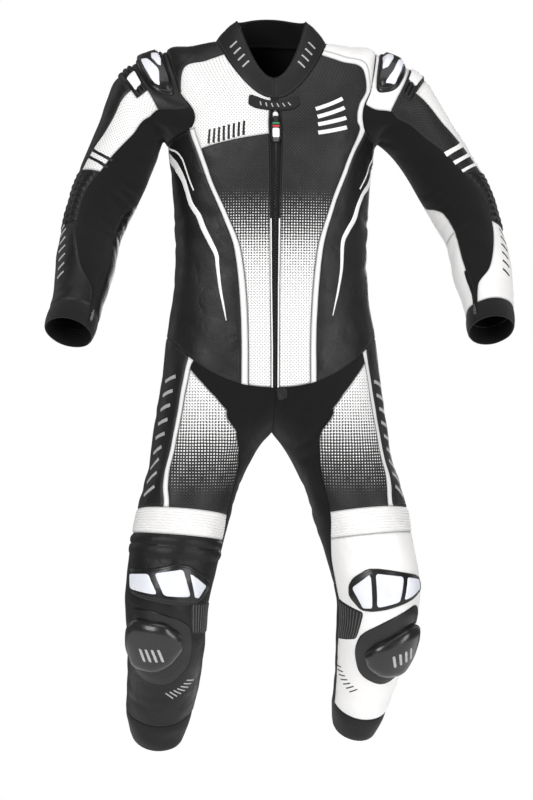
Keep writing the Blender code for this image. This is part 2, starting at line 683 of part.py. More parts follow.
def gauge(x, y, outline):
    """How far out a place lies in a convex outline: 0 at its centre, 1 on its edge."""
    centre = np.mean(np.array(outline), 0)
    value = 0.0
    for p, q in zip(outline, outline[1:] + outline[:1]):
        edge = np.array(q) - np.array(p)
        n = np.array([edge[1], -edge[0]])
        reach = float(n @ (np.array(p) - centre))
        value = max(value, float(n @ (np.array([x, y]) - centre)) / reach)
    return value


def applied(name, parts, outline, start, profile):
    """A piece that lies on the panels: its underside follows their facets, its top rises by the profile."""
    outline = [(x / 100, y) for x, y in outline]
    flat, solid, normal = facets(parts)
    low = np.array(outline).min(0) - 0.02
    high = np.array(outline).max(0) + 0.02
    near = (flat.max(1) >= low).all(1) & (flat.min(1) <= high).all(1)
    flat, solid, normal = flat[near], solid[near], normal[near]
    verts = []
    edges = []
    for tri in flat:
        edges += [(len(verts), len(verts) + 1), (len(verts) + 1, len(verts) + 2), (len(verts) + 2, len(verts))]
        verts += [tuple(p) for p in tri]
    centre = np.mean(np.array(outline), 0)
    for ring, _ in profile:
        first = len(verts)
        verts += [tuple(centre + (np.array(p) - centre) * ring) for p in outline]
        edges += [(first + i, first + (i + 1) % len(outline)) for i in range(len(outline))]
    vectors = [mathutils.Vector(p) for p in verts]
    flat_verts, _, tris, *_ = mathutils.geometry.delaunay_2d_cdt(vectors, edges, [], 0, 1e-6)
    used = {}
    faces = []
    for tri in tris:
        x = sum(flat_verts[i][0] for i in tri) / 3
        y = sum(flat_verts[i][1] for i in tri) / 3
        if inside_polygon(x, y, outline):
            faces.append(tuple(used.setdefault(i, len(used)) for i in tri))
    rings = [ring for ring, _ in profile][::-1]
    heights = [height for _, height in profile][::-1]
    lower = []
    upper = []
    for i in used:
        p, n = locate(flat, solid, normal, *flat_verts[i])
        rise = float(np.interp(gauge(*flat_verts[i], outline), rings, heights)) if len(rings) > 1 else heights[0]
        lower.append(p + n * start)
        upper.append(p + n * (start + rise))
    count = len(lower)
    closed = [tuple(i + count for i in face) for face in faces]
    closed += [tuple(reversed(face)) for face in faces]
    closed += [(a, b, b + count, a + count) for a, b in rim_edges(faces)]
    return new_object(name, lower + upper, closed, 30)


def surface_frame(parts, x, y):
    """Point, outward normal and the surface's own downward direction at one place."""
    triangles = facets(parts)
    p, n = locate(*triangles, x / 100, y)
    below, _ = locate(*triangles, x / 100, y - PROBE[parts[0][0].name])
    n = n / np.linalg.norm(n)
    down = below - p
    down = down - n * float(down @ n)
    down = down / np.linalg.norm(down)
    return p, n, down


def pull(name, hinge, down, out, size):
    """A flat zip pull: a narrow neck at its hinge that widens to a rounded end. Gives its hinge point and axis."""
    length, width, thick = size
    down = down / np.linalg.norm(down)
    axis = np.cross(down, out)
    axis = axis / np.linalg.norm(axis)
    normal = np.cross(axis, down)
    half = width / 2
    neck = half * PULL_NECK
    across = -axis
    shape = [(0, neck), (0.22, neck), (0.34, half), (0.86, half), (0.96, half * 0.7), (1.0, half * 0.3)]
    outline = [(a * length, b) for a, b in shape] + [(a * length, -b) for a, b in reversed(shape)]
    points = []
    for lift in (-thick / 2, thick / 2):
        for a, b in outline:
            points.append(hinge + down * a + across * b + normal * lift)
    count = len(outline)
    faces = [tuple(range(count)), tuple(range(count, 2 * count))[::-1]]
    faces += [(i, (i + 1) % count, (i + 1) % count + count, i + count) for i in range(count)]
    new_object(name, points, faces, 30)
    return hinge, axis


# Looks of the plain solids
LOOKS = {
    "black": ((0.022, 0.022, 0.024), 0.45, 0),
    "white": ((0.80, 0.80, 0.79), 0.50, 0),
    "grey": ((0.45, 0.45, 0.46), 0.50, 0),
    "stretch": ((0.018, 0.018, 0.019), 0.85, 0),
    "plastic": ((0.030, 0.030, 0.032), 0.35, 0),
    "metal": ((0.55, 0.55, 0.56), 0.30, 1),
    "red": ((0.55, 0.03, 0.03), 0.40, 0),
}
NAME_LOOKS = (
    ("chest_panel_R", "white"), ("front_panel", "grey"), ("front_border", "white"), ("yoke_L", "white"),
    ("zip_slider", "metal"), ("zip_pull", "red"), ("arm_front_R", "white"), ("arm_outer_L", "white"),
    ("forearm_L", "white"), ("arm_stretch", "stretch"), ("leg_stretch", "stretch"), ("thigh_front", "grey"),
    ("thigh_strip", "white"), ("knee_ribs", "white"), ("knee_panel_L", "white"), ("knee_plate", "plastic"),
    ("knee_slider", "plastic"), ("shoulder_cup", "plastic"), ("cuff_pull", "metal"),
)


def look_of(name):
    for start, look in NAME_LOOKS:
        if name.startswith(start):
            return look
    return "black"


def cells_of(kind, side, *blocks):
    """One part of a panel: blocks of rows and columns of a sheet."""
    cells = []
    for rows, columns in blocks:
        cells += block(rows, columns)
    return (kind, side, cells)


def both(kind, *blocks):
    return [cells_of(kind, side, *blocks) for side in SIDES.values()]


# The body
for tag, side in SIDES.items():
    low_end, border_end = (CHEST_ROW, HOLE_LOW) if tag == "R" else (NECK_ROW, NECK_ROW)
    panel("front_panel_" + tag, [cells_of("torso", side, ((0, low_end), (1, 4)))])
    panel("front_border_" + tag, [cells_of("torso", side, ((0, border_end), (4, 5)))])
    panel("side_panel_" + tag, [cells_of("torso", side, ((0, HOLE_LOW), (5, 13)))])
    panel("yoke_" + tag, [cells_of("torso", side, ((HOLE_HIGH, NECK_ROW), (5, 13)))])
panel("chest_panel_R", [cells_of("torso", "right", ((CHEST_ROW, NECK_ROW), (1, 4)), ((HOLE_LOW, NECK_ROW), (4, 5)))])
panel("back_panel", both("torso", ((0, NECK_ROW), (13, 18))))
panel("zip_tape", both("torso", ((0, NECK_ROW), (0, 1))))
panel("collar", both("collar", ((0, 2), (0, HALF))), COLLAR_WALL)

# The sleeves
for tag, side in SIDES.items():
    panel("arm_stretch_" + tag, [cells_of("sleeve", side, ((0, CUFF_ROW), (0, 7)))])
    panel("shoulder_accordion_" + tag, [cells_of("sleeve", side, ((ACCORDION_TOP, ACCORDION_END), (9, 17)))],
          WALL, SHOULDER_RIBS, SHOULDER_RIB_HEIGHT)
    panel("arm_front_" + tag, [cells_of(
        "sleeve", side, ((ACCORDION_TOP, ACCORDION_END), (7, 9)), ((ACCORDION_END, STRIPE_ROW), (7, 10)))])
    panel("arm_outer_" + tag, [cells_of(
        "sleeve", side, ((0, ACCORDION_TOP), (7, 24)), ((ACCORDION_TOP, ACCORDION_END), (17, 24)),
        ((ACCORDION_END, STRIPE_ROW), (10, 24)), ((STRIPE_ROW, ELBOW_END), (13, 24)))])
    panel("elbow_accordion_" + tag, [cells_of("sleeve", side, ((STRIPE_ROW, ELBOW_END), (7, 13)))],
          WALL, ELBOW_RIBS, ELBOW_RIB_HEIGHT)
    panel("forearm_" + tag, [cells_of("sleeve", side, ((ELBOW_END, CUFF_ROW), (7, 24)))])
    panel("cuff_" + tag, [cells_of("sleeve", side, ((CUFF_ROW, CUFF_ROW + 1), (0, 24)))])

# The legs
for tag, side in SIDES.items():
    panel("leg_stretch_" + tag, [cells_of(
        "leg", side, ((0, 1), (0, 7)), ((1, STRETCH_END), (0, 4)), ((0, STRETCH_END), (18, 24)),
        ((RIB_ROW, STRETCH_END), (12, 18)))])
    panel("thigh_front_" + tag, [cells_of("leg", side, ((1, RIB_ROW), (4, 7)))])
    panel("thigh_strip_" + tag, [cells_of("leg", side, ((0, RIB_ROW), (7, 8)))])
    panel("thigh_outer_" + tag, [cells_of("leg", side, ((0, RIB_ROW), (8, 12)))])
    panel("leg_back_" + tag, [cells_of("leg", side, ((0, RIB_ROW), (12, 18)))])
    panel("knee_ribs_" + tag, [cells_of("leg", side, ((RIB_ROW, BAND_ROW), (4, 12)))], WALL, KNEE_RIBS,
          KNEE_RIB_HEIGHT)
    quilted = QUILT_RIBS if tag == "R" else 0
    panel("knee_panel_" + tag, [cells_of("leg", side, ((BAND_ROW, HEM_ROW), (4, 12)))], WALL, quilted,
          QUILT_HEIGHT, (BAND_ROW, PANEL_ROW))
    panel("calf_" + tag, [cells_of("leg", side, ((STRETCH_END, HEM_ROW), (0, 4)), ((STRETCH_END, HEM_ROW), (12, 24)))])
    panel("hem_" + tag, [cells_of("leg", side, ((HEM_ROW, LEG_END), (0, 24)))])

# Pieces that lie on the panels, and the pulls with their hinges
HINGES = {}
body = [(SHEETS["torso", side], sheet_cells("torso", SHEETS["torso", side])) for side in SIDES.values()]
applied("collar_tab", body, COLLAR_TAB, LIE, ((1.0, COLLAR_TAB_THICK),))
applied("zip_slider", body, ZIP_SLIDER, LIE, ((1.0, ZIP_SLIDER_THICK),))
spot, out = surface_frame(body, 0.0, ZIP_HINGE_V)[:2]
spot = spot + out * (LIE + ZIP_SLIDER_THICK + ZIP_PULL_CLEAR + ZIP_PULL[2] / 2)
tip, tip_out = surface_frame(body, 0.0, ZIP_TIP_V)[:2]
HINGES["zip_pull"] = pull("zip_pull", spot, tip + tip_out * ZIP_TIP_RISE - spot, out, ZIP_PULL)
for tag, side in SIDES.items():
    arm = [(SHEETS["sleeve", side], sheet_cells("sleeve", SHEETS["sleeve", side]))]
    limb = [(SHEETS["leg", side], sheet_cells("leg", SHEETS["leg", side]))]
    if tag == "L":
        applied("zip_garage", limb, GARAGE, LIE, ((1.0, GARAGE_THICK),))
    applied("shoulder_cup_" + tag, arm, SHOULDER_CUP[side], LIE, CUP_PROFILE)
    applied("cuff_zip_" + tag, arm, CUFF_ZIP, LIE, ((1.0, CUFF_ZIP_THICK),))
    spot, out, down = surface_frame(arm, *CUFF_HINGE)
    spot = spot + out * (LIE + CUFF_ZIP_THICK + CUFF_PULL_CLEAR + CUFF_PULL[2] / 2)
    lean = down + out * CUFF_TIP_RISE / CUFF_PULL[0]
    HINGES["cuff_pull_" + tag] = pull("cuff_pull_" + tag, spot, lean, out, CUFF_PULL)
    applied("knee_plate_" + tag, limb, KNEE_PLATE[side], LIE, PLATE_PROFILE)
    applied("slider_base_" + tag, limb, SLIDER_BASE[side], LIE, ((1.0, BASE_THICK),))
    applied("knee_slider_" + tag, limb, KNEE_SLIDER[side], 2 * LIE + BASE_THICK, SLIDER_PROFILE)
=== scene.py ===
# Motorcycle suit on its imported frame: fine cloth shells, sewing, zips, armour, materials, light and camera.
# Metres, +Z up, front to -Y, "right" is the wearer's right (-X).
import json
import math

import bmesh
import bpy
import numpy as np
from mathutils import Matrix


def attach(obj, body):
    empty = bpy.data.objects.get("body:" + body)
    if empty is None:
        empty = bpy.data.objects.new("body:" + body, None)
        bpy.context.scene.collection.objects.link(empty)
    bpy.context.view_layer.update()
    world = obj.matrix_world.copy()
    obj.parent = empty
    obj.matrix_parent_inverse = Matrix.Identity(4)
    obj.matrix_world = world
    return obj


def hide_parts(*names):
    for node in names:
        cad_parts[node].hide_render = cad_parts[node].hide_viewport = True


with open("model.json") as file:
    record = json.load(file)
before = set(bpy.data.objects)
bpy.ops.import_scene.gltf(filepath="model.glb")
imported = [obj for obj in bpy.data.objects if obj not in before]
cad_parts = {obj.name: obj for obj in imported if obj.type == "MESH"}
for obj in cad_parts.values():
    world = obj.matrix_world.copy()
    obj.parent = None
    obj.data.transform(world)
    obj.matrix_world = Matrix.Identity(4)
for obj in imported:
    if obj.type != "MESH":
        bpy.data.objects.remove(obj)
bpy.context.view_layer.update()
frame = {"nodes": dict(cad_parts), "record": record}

# Torso rings from the waist seam up to the neck seam
# z_front, z_side, z_back, half_width, front, back, square
TORSO = (
    (-0.662, -0.565, -0.585, 0.203, 0.112, 0.122, 2.3),   # waist seam
    (-0.560, -0.480, -0.490, 0.191, 0.112, 0.106, 2.3),   # belly
    (-0.450, -0.395, -0.395, 0.187, 0.108, 0.097, 2.3),   # waist
    (-0.340, -0.310, -0.300, 0.190, 0.114, 0.101, 2.3),   # midriff
    (-0.245, -0.235, -0.215, 0.197, 0.124, 0.111, 2.35),  # ribs
    (-0.190, -0.172, -0.150, 0.203, 0.127, 0.118, 2.4),   # armpit
    (-0.158, -0.085, -0.095, 0.210, 0.121, 0.114, 2.3),   # middle of the armhole
    (-0.137, -0.006, -0.040, 0.205, 0.112, 0.101, 2.1),   # shoulder point
    (-0.120, 0.006, 0.000, 0.155, 0.103, 0.087, 2.0),     # yoke
    (-0.106, 0.014, 0.020, 0.108, 0.094, 0.072, 2.0),     # neck seam
)
# The collar's rows above the neck seam, the same columns
COLLAR = (
    (-0.086, 0.034, 0.047, 0.090, 0.088, 0.062, 2.0),
    (-0.067, 0.055, 0.068, 0.0685, 0.080, 0.052, 2.0),
)

# Armhole: u and v on the torso every 15 degrees, from the armpit by the front and the shoulder to the back
ARMHOLE = {
    "right": (
        (90, 4.72), (80, 4.80), (69, 4.90), (59, 5.02), (50, 5.16), (45.5, 5.42), (44.5, 5.68), (47.5, 5.92),
        (56.5, 6.15), (62, 6.45), (70, 6.72), (80, 6.92), (90, 7.00), (101, 6.94), (112, 6.78), (122, 6.52),
        (130, 6.20), (134, 5.95), (135, 5.70), (134, 5.45), (130, 5.22), (121, 5.05), (111, 4.90),
        (101, 4.78),
    ),
    "left": (
        (90, 4.72), (82, 4.78), (74, 4.88), (66, 5.00), (58, 5.16), (54.5, 5.42), (53.5, 5.66), (55.5, 5.92),
        (62, 6.17), (66, 6.45), (72, 6.72), (81, 6.92), (90, 7.00), (101, 6.94), (112, 6.78), (122, 6.52),
        (130, 6.20), (134, 5.95), (135, 5.70), (134, 5.45), (130, 5.22), (121, 5.05), (111, 4.90),
        (101, 4.78),
    ),
}

# Torso grid rows: v at the front, the border, the side and the back, then u of the tape edge, the border's
# inner edge (right, left), its outer edge (right, left), the side line and the back seam
TORSO_ROWS = (
    # v_front, v_border, v_side, v_back, tape, in_right, in_left, out_right, out_left, side, back
    (0.00, 0.00, 0.00, 0.00, 1.1, 12.0, 16.8, 15.5, 20.0, 70, 131),
    (0.80, 0.80, 0.80, 0.80, 1.2, 12.8, 17.9, 16.4, 21.3, 76, 130),
    (1.60, 1.60, 1.60, 1.60, 1.4, 14.1, 19.8, 17.9, 23.4, 83, 130),
    (2.40, 2.40, 2.40, 2.40, 1.6, 17.4, 22.8, 21.2, 26.6, 90, 130),
    (3.00, 3.00, 3.00, 3.00, 1.7, 25.2, 29.0, 29.0, 32.6, 90, 130),
    (3.65, 3.62, 3.55, 3.55, 1.8, 34.4, 35.6, 38.0, 39.4, 90, 130),
    (4.42, 4.12, 3.95, 3.95, 1.9, 38.6, 40.4, 42.4, 44.6, 90, 130),
    (5.24, 4.55, 4.32, 4.35, 2.0, 41.2, 44.2, 45.4, 48.8, 90, 130),
    (5.50, 5.24, 4.72, 4.80, 2.1, 45.6, 51.6, 50.0, 58.0, 90, 130),
    (5.80, 5.46, 5.00, 5.25, 2.2, 41.4, 48.4, 45.5, 54.5, 90, 134),
    (6.10, 5.72, 5.70, 5.65, 2.3, 40.6, 48.0, 44.5, 53.5, 90, 135),
    (6.42, 6.00, 6.30, 6.05, 2.4, 43.4, 50.0, 47.5, 55.5, 90, 134),
    (6.80, 6.34, 7.00, 6.45, 2.5, 52.2, 57.4, 56.5, 62.0, 90, 130),
    (7.80, 7.50, 7.90, 7.60, 2.9, 52.6, 57.6, 56.4, 62.6, 90, 133),
    (9.00, 9.00, 9.00, 9.00, 3.6, 55.6, 61.0, 60.0, 67.0, 90, 136),
)
# The waist seam's columns 6 to 12, which the leg seams start from, right and left
WAIST_COLUMNS = {
    "right": (33, 47.0, 51.5, 70, 88, 104, 118),
    "left": (38, 56.5, 61.0, 76, 91, 105, 118),
}
HALF = 18                  # columns from the centre front to the centre back
SIDE_FRONT, SIDE_BACK = 5, 13         # the armhole's first and last column
HOLE_LOW, HOLE_HIGH = 8, 12           # the armhole's lowest and highest row
CHEST_ROW, NECK_ROW = 7, 14

# Sleeve rings from the armhole down to the cuff's end
SLEEVE = {
    # centre x, y, z, half_width, half_depth, drop, pitch
    "right": (
        (0.253, -0.002, -0.118, 0.0777, 0.074, 32, 2),
        (0.281, -0.008, -0.187, 0.0650, 0.068, 62, 6),
        (0.3175, -0.022, -0.2767, 0.0655, 0.066, 68, 14),
        (0.3496, -0.062, -0.3677, 0.0565, 0.060, 77, 30),
        (0.3619, -0.112, -0.448, 0.0555, 0.056, 81, 33),
        (0.3756, -0.150, -0.507, 0.0480, 0.050, 77, 34),
        (0.390, -0.188, -0.561, 0.0456, 0.047, 73, 34),
    ),
    "left": (
        (0.255, -0.002, -0.118, 0.0777, 0.074, 32, 2),
        (0.304, -0.008, -0.187, 0.0650, 0.068, 58, 6),
        (0.358, -0.022, -0.2767, 0.0655, 0.066, 65, 14),
        (0.390, -0.062, -0.3657, 0.0565, 0.060, 76, 30),
        (0.3985, -0.112, -0.444, 0.0555, 0.056, 84, 33),
        (0.4035, -0.150, -0.500, 0.0480, 0.050, 84, 34),
        (0.4025, -0.188, -0.555, 0.0456, 0.047, 85, 34),
    ),
}
# Sleeve grid rows: s, then the angle of the rear seam, the stretch panel's outer seam, the arm front's outer
# seam, the elbow's back seam. The first row is the armhole itself.
SLEEVE_ROWS = (
    # s, rear, stretch, front, elbow
    (0.00, -90, 15, 60, 105),
    (0.35, -92, -2, 52, 104),
    (0.72, -98, -12, 36, 103),
    (1.08, -102, -22, 26, 102),
    (1.80, -104, -8, 41, 102),
    (2.58, -104, 14, 60, 102),
    (2.95, -100, 22, 64, 104),
    (3.48, -54, 36, 70, 106),
    (4.10, -48, 35, 72, 104),
    (4.75, -47, 22, 66, 102),
    (5.35, -46, 4, 58, 98),
    (5.85, -45, -28, 50, 96),
    (6.38, -45, -36, 48, 96),
    (7.00, -45, -36, 48, 96),
)
SLEEVE_SEAMS = (0, 7, 10, 13, 24)
ACCORDION_TOP, ACCORDION_END, STRIPE_ROW, ELBOW_END, CUFF_ROW = 2, 3, 6, 8, 12

# Leg rings below the waist seam and the crotch
PHI_FRONT, PHI_BACK = -25.0, 205.0
CROTCH_Z = -0.748
SEAT_BULGE = 0.030
# centre x, y, z, half_width, front, back, tilt, roll
THIGH = (
    (0.1313, -0.004, -0.784, 0.103, 0.100, 0.108, -8, 0),
    (0.158, -0.018, -0.8526, 0.092, 0.094, 0.098, -10, 4),
    (0.174, -0.032, -0.911, 0.0896, 0.090, 0.090, -9, 5),
    (0.1886, -0.046, -0.976, 0.0867, 0.086, 0.082, -4, 5),
    (0.205, -0.054, -1.068, 0.080, 0.084, 0.074, 12, 3),
)
SHIN = {
    "right": (
        (0.206, -0.030, -1.155, 0.075, 0.074, 0.074, 26, 1),
        (0.2100, 0.012, -1.235, 0.070, 0.064, 0.070, 31, 1),
        (0.2190, 0.050, -1.302, 0.063, 0.056, 0.060, 34, 1),
        (0.2215, 0.078, -1.350, 0.051, 0.048, 0.050, 38, 1),
    ),
    "left": (
        (0.197, -0.030, -1.155, 0.072, 0.074, 0.074, 26, -4),
        (0.187, 0.012, -1.232, 0.060, 0.064, 0.070, 32, -5),
        (0.180, 0.052, -1.293, 0.053, 0.056, 0.060, 36, -5),
        (0.174, 0.082, -1.335, 0.044, 0.046, 0.050, 40, -5),
    ),
}
# Leg grid rows: s, then the angle of the front of the inner leg, the thigh front's inner seam, the strip's
# two edges, the back seam and the inner back. The first row is the waist seam and the crotch.
LEG_ROWS = {
    "right": (
        # s, inner, thigh, strip_in, strip_out, back, inner_back
        (0.42, -32, -5, 36.5, 41.5, 122, 208),
        (0.78, -50, -26, 36, 41.5, 118, 212),
        (1.12, -68, -43, 34.5, 40.5, 116, 212),
        (1.65, -86, -57, 32, 38.5, 115, 209),
        (2.25, -96, -65, 27, 34, 115, 206),
        (2.90, -100, -68, 20, 27.5, 115, 204),
        (3.65, -106, -76, 18, 27, 112, 203),
        (4.15, -110, -82, 17, 27, 110, 202),
        (4.65, -112, -84, 17, 27, 108, 202),
        (5.15, -112, -84, 17, 27, 108, 202),
        (5.70, -112, -84, 17, 27, 108, 202),
        (6.30, -112, -84, 17, 27, 108, 202),
        (7.05, -112, -84, 17, 27, 108, 202),
        (7.80, -112, -84, 17, 27, 108, 202),
        (9.00, -112, -84, 17, 27, 108, 202),
    ),
    "left": (
        (0.42, -30, 4, 47.5, 52.5, 124, 208),
        (0.78, -46, -17, 46, 52, 121, 212),
        (1.12, -60, -30, 44.5, 51, 119, 212),
        (1.65, -76, -40, 42, 49, 118, 209),
        (2.25, -86, -45, 37, 45, 118, 206),
        (2.90, -91, -48, 30.5, 39, 118, 204),
        (3.65, -98, -60, 28, 38, 116, 203),
        (4.15, -103, -70, 26, 36, 114, 202),
        (4.65, -107, -76, 24, 34, 112, 202),
        (5.15, -108, -78, 22, 32, 112, 202),
        (5.70, -108, -78, 22, 32, 112, 202),
        (6.30, -108, -78, 22, 32, 112, 202),
        (7.05, -108, -78, 22, 32, 112, 202),
        (7.80, -108, -78, 22, 32, 112, 202),
        (9.00, -108, -78, 22, 32, 112, 202),
    ),
}
# How far down the first row lies at each column, which draws the curved top of the thigh front
APEX_ROW = (0.42, 0.42, 0.42, 0.42, 0.42, 0.27, 0.17, 0.10, 0.10, 0.16, 0.24, 0.32, 0.38, 0.40, 0.40, 0.40,
            0.40, 0.40, 0.42, 0.42, 0.42, 0.42, 0.42, 0.42, 0.42)
LEG_SEAMS = (0, 4, 7, 8, 12, 18, 24)
RIB_ROW, BAND_ROW, PANEL_ROW, STRETCH_END, HEM_ROW, LEG_END = 6, 7, 8, 9, 14, 15

# Ribs: number, height and how many blocks each column of the grid cuts them into
SHOULDER_RIBS = (3, 0.0034, 0)
ELBOW_RIBS = (9, 0.0030, 1)
KNEE_RIBS = (10, 0.0019, 0)
QUILT_RIBS = (2, 0.0030, 0)

# Pieces that lie on the panels, as outlines in the surface's own angle and row
COLLAR_TAB = ((-21, 8.42), (-14, 7.16), (13, 7.16), (20, 8.42))
ZIP_SLIDER = ((-1.25, 6.24), (1.25, 6.24), (1.25, 6.95), (-1.25, 6.95))
GARAGE = ((-24.6, 0.012), (-18.9, 0.014), (-24.2, 0.225), (-31.9, 0.062))
SHOULDER_CUP = {
    "right": ((22, 0.16), (17, 0.62), (50, 0.66), (84, 0.62), (118, 0.62), (132, 0.36), (118, 0.12),
              (86, 0.07),
              (50, 0.07)),
    "left": ((26, 0.14), (22, 0.60), (50, 0.66), (84, 0.62), (118, 0.62), (132, 0.36), (118, 0.12),
             (86, 0.07),
             (50, 0.06)),
}
KNEE_PLATE = {
    "right": ((70, 4.40), (44, 4.40), (-14, 4.20), (-66, 4.56), (-60, 4.74), (-42, 4.92), (60, 4.82),
              (72, 4.62)),
    "left": ((-50, 4.80), (-46, 4.60), (-36, 4.46), (-9, 4.30), (68, 4.56), (75, 4.70), (74, 4.86),
             (-29, 5.06)),
}
SLIDER_BASE = {
    "right": ((64, 5.04), (10, 5.00), (-36, 5.26), (-38, 5.60), (-34, 6.08), (-4, 6.52), (36, 6.50),
              (66, 6.20),
              (74, 5.60)),
    "left": ((-32, 5.46), (10, 5.14), (56, 5.00), (72, 5.24), (76, 5.88), (50, 6.40), (19, 6.62), (-24, 6.40),
             (-38, 5.92)),
}
KNEE_SLIDER = {
    "right": ((58, 5.36), (44, 5.18), (2, 5.18), (-20, 5.40), (-22, 5.66), (-6, 5.98), (14, 6.18), (50, 6.18),
              (64, 5.80)),
    "left": ((-20, 5.84), (-8, 5.62), (33, 5.38), (62, 5.38), (70, 5.66), (66, 5.98), (44, 6.34), (8, 6.30),
             (-14, 6.10)),
}
CUFF_ZIP = ((-52, 5.20), (-41, 5.20), (-36, 6.10), (-36, 6.93), (-47, 6.93), (-47, 6.10))


# Surfaces

def blend(a, b, slope_a, slope_b, f):
    """A smooth step from a to b with the given slopes at its ends."""
    return ((1 + 2 * f) * (1 - f) ** 2 * a + f * (1 - f) ** 2 * slope_a
            + f * f * (3 - 2 * f) * b - f * f * (1 - f) * slope_b)


def smooth_rows(rows, t):
    """Values through a table's rows at the places t, counted in rows."""
    rows = np.asarray(rows, float)
    t = np.clip(np.asarray(t, float), 0, len(rows) - 1)
    slope = np.gradient(rows, axis=0)
    k = np.minimum(t.astype(int), len(rows) - 2)
    f = (t - k)[..., None]
    return blend(rows[k], rows[k + 1], slope[k], slope[k + 1], f)


def smooth_rings(rings, s):
    """One point for each column of the rings, at its own place s between them."""
    rings = np.stack(rings)
    slope = np.gradient(rings, axis=0)
    s = np.clip(s, 0, len(rings) - 1)
    k = np.minimum(s.astype(int), len(rings) - 2)
    i = np.arange(rings.shape[1])
    return blend(rings[k, i], rings[k + 1, i], slope[k, i], slope[k + 1, i], (s - k)[:, None])


def signed_power(x, e):
    return np.sign(x) * np.abs(x) ** e


def ring_point(row, u):
    """Point on a body ring: u is 0 at the centre front, 90 at the side, 180 at the centre back."""
    z_front, z_side, z_back, half_width, front, back, square = np.moveaxis(row, -1, 0)
    c = np.cos(np.radians(u))
    s = np.sin(np.radians(u))
    e = 2 / square
    x = half_width * signed_power(s, e)
    y = -np.where(c > 0, front, back) * signed_power(c, e)
    z = z_side + (np.where(c > 0, z_front, z_back) - z_side) * c * c
    return np.stack([x, y, z], -1)


def torso(u, v):
    """Left half of the torso: v counts the rings, from 0 at the waist seam to 9 at the neck seam."""
    return ring_point(smooth_rows(TORSO, v), u)


def armhole(phi, side):
    """Place on the torso of the armhole: -90 armpit, 0 front, 90 shoulder, 180 back."""
    table = np.asarray(ARMHOLE[side], float)
    count = len(table)
    t = ((phi + 90) / (360 / count)) % count
    k = t.astype(int)
    f = (t - k)[:, None]
    before, a, b, after = (table[(k + i) % count] for i in (-1, 0, 1, 2))
    uv = blend(a, b, (b - before) / 2, (after - a) / 2, f)
    return uv[:, 0], uv[:, 1]


def sleeve_ring(row, phi):
    x, y, z, half_width, half_depth, drop, pitch = row
    a = math.radians(drop)
    p = math.radians(pitch)
    along = np.array([math.cos(a) * math.cos(p), -math.sin(p), -math.sin(a) * math.cos(p)])
    front = np.cross(along, np.array([math.sin(a), 0, math.cos(a)]))
    front = front / np.linalg.norm(front)
    out = np.cross(front, along)
    r = np.radians(phi)[:, None]
    return np.array([x, y, z]) + out * half_width * np.sin(r) + front * half_depth * np.cos(r)


def sleeve(phi, s, side):
    """Sleeve on the +X side: s counts the rings, from 0 at the armhole to 7 at the cuff's end."""
    u, v = armhole(phi, side)
    rings = [torso(u, v)]
    for row in SLEEVE[side]:
        rings.append(sleeve_ring(row, phi))
    return smooth_rings(rings, s)


def leg_top(phi):
    """The waist seam on the outside and the crotch seam on the inside."""
    u = np.clip((phi - PHI_FRONT) / (PHI_BACK - PHI_FRONT), 0, 1) * 180
    outside = torso(u, np.zeros_like(u))
    front, back = torso(np.array([0.0, 180.0]), np.zeros(2))
    r = np.radians(np.clip((phi - PHI_BACK) / (360 + PHI_FRONT - PHI_BACK), 0, 1) * 180)
    y = (front[1] + back[1]) / 2 + (back[1] - front[1]) / 2 * signed_power(np.cos(r), 0.9)
    top = back[2] + (front[2] - back[2]) * (1 - np.cos(r)) / 2
    z = top + (CROTCH_Z - top) * np.abs(np.sin(r)) ** 0.8
    inside = np.stack([np.zeros_like(y), y, z], -1)
    return np.where((phi <= PHI_BACK)[:, None], outside, inside)


def leg_ring(row, phi):
    x, y, z, half_width, front, back, tilt, roll = row
    t = math.radians(tilt)
    o = math.radians(roll)
    forward = np.array([0, -math.cos(t), -math.sin(t)])
    sideways = np.array([math.cos(o), 0, math.sin(o)])
    c = np.cos(np.radians(phi))[:, None]
    s = np.sin(np.radians(phi))[:, None]
    return np.array([x, y, z]) + sideways * half_width * s + forward * np.where(c > 0, front, back) * c


def leg(phi, s, side):
    """Leg on the +X side: s counts the rings, from 0 at the waist seam to 9 at the hem's end."""
    phi = (phi - PHI_FRONT) % 360 + PHI_FRONT
    rings = [leg_top(phi)]
    for row in THIGH + SHIN[side]:
        rings.append(leg_ring(row, phi))
    out = smooth_rings(rings, s)
    outside = (phi - PHI_FRONT) / (PHI_BACK - PHI_FRONT)
    inside = (360 + PHI_FRONT - phi) / (360 + PHI_FRONT - PHI_BACK)
    turn = np.minimum(outside, inside) * math.pi
    out[:, 1] += SEAT_BULGE * np.sin(math.pi * np.clip(s, 0, 1)) * np.maximum(0, -np.cos(turn)) ** 1.5
    return out


# Grids: rows and columns that the seams follow

def spread(seams, values, columns):
    """A value at each column, even between the seams."""
    return np.interp(np.arange(columns + 1), seams, values)


def torso_grid(side):
    """u and v of every row and column of one half of the torso."""
    pick = 0 if side == "right" else 1
    u = np.zeros((len(TORSO_ROWS), HALF + 1))
    v = np.zeros_like(u)
    for r, row in enumerate(TORSO_ROWS):
        v_front, v_border, v_side, v_back, tape = row[:5]
        inner, outer, flank, back = row[5 + pick], row[7 + pick], row[9], row[10]
        u[r] = spread((0, 1, 4, 5, 9, 13, 18), (0, tape, inner, outer, flank, back, 180), HALF)
        v[r] = spread((0, 1, 4, 5, 9, 13, 18), (v_front, v_front, v_border, v_border, v_side, v_back, v_back),
                      HALF)
        share = max(0.0, 1 - r / 4)
        u[r, 6:13] = share * np.array(WAIST_COLUMNS[side]) + (1 - share) * u[r, 6:13]
    loop = armhole_cells()
    for (r, c), (hole_u, hole_v) in zip(loop, ARMHOLE[side]):
        u[r, c] = hole_u
        v[r, c] = hole_v
    return u, v


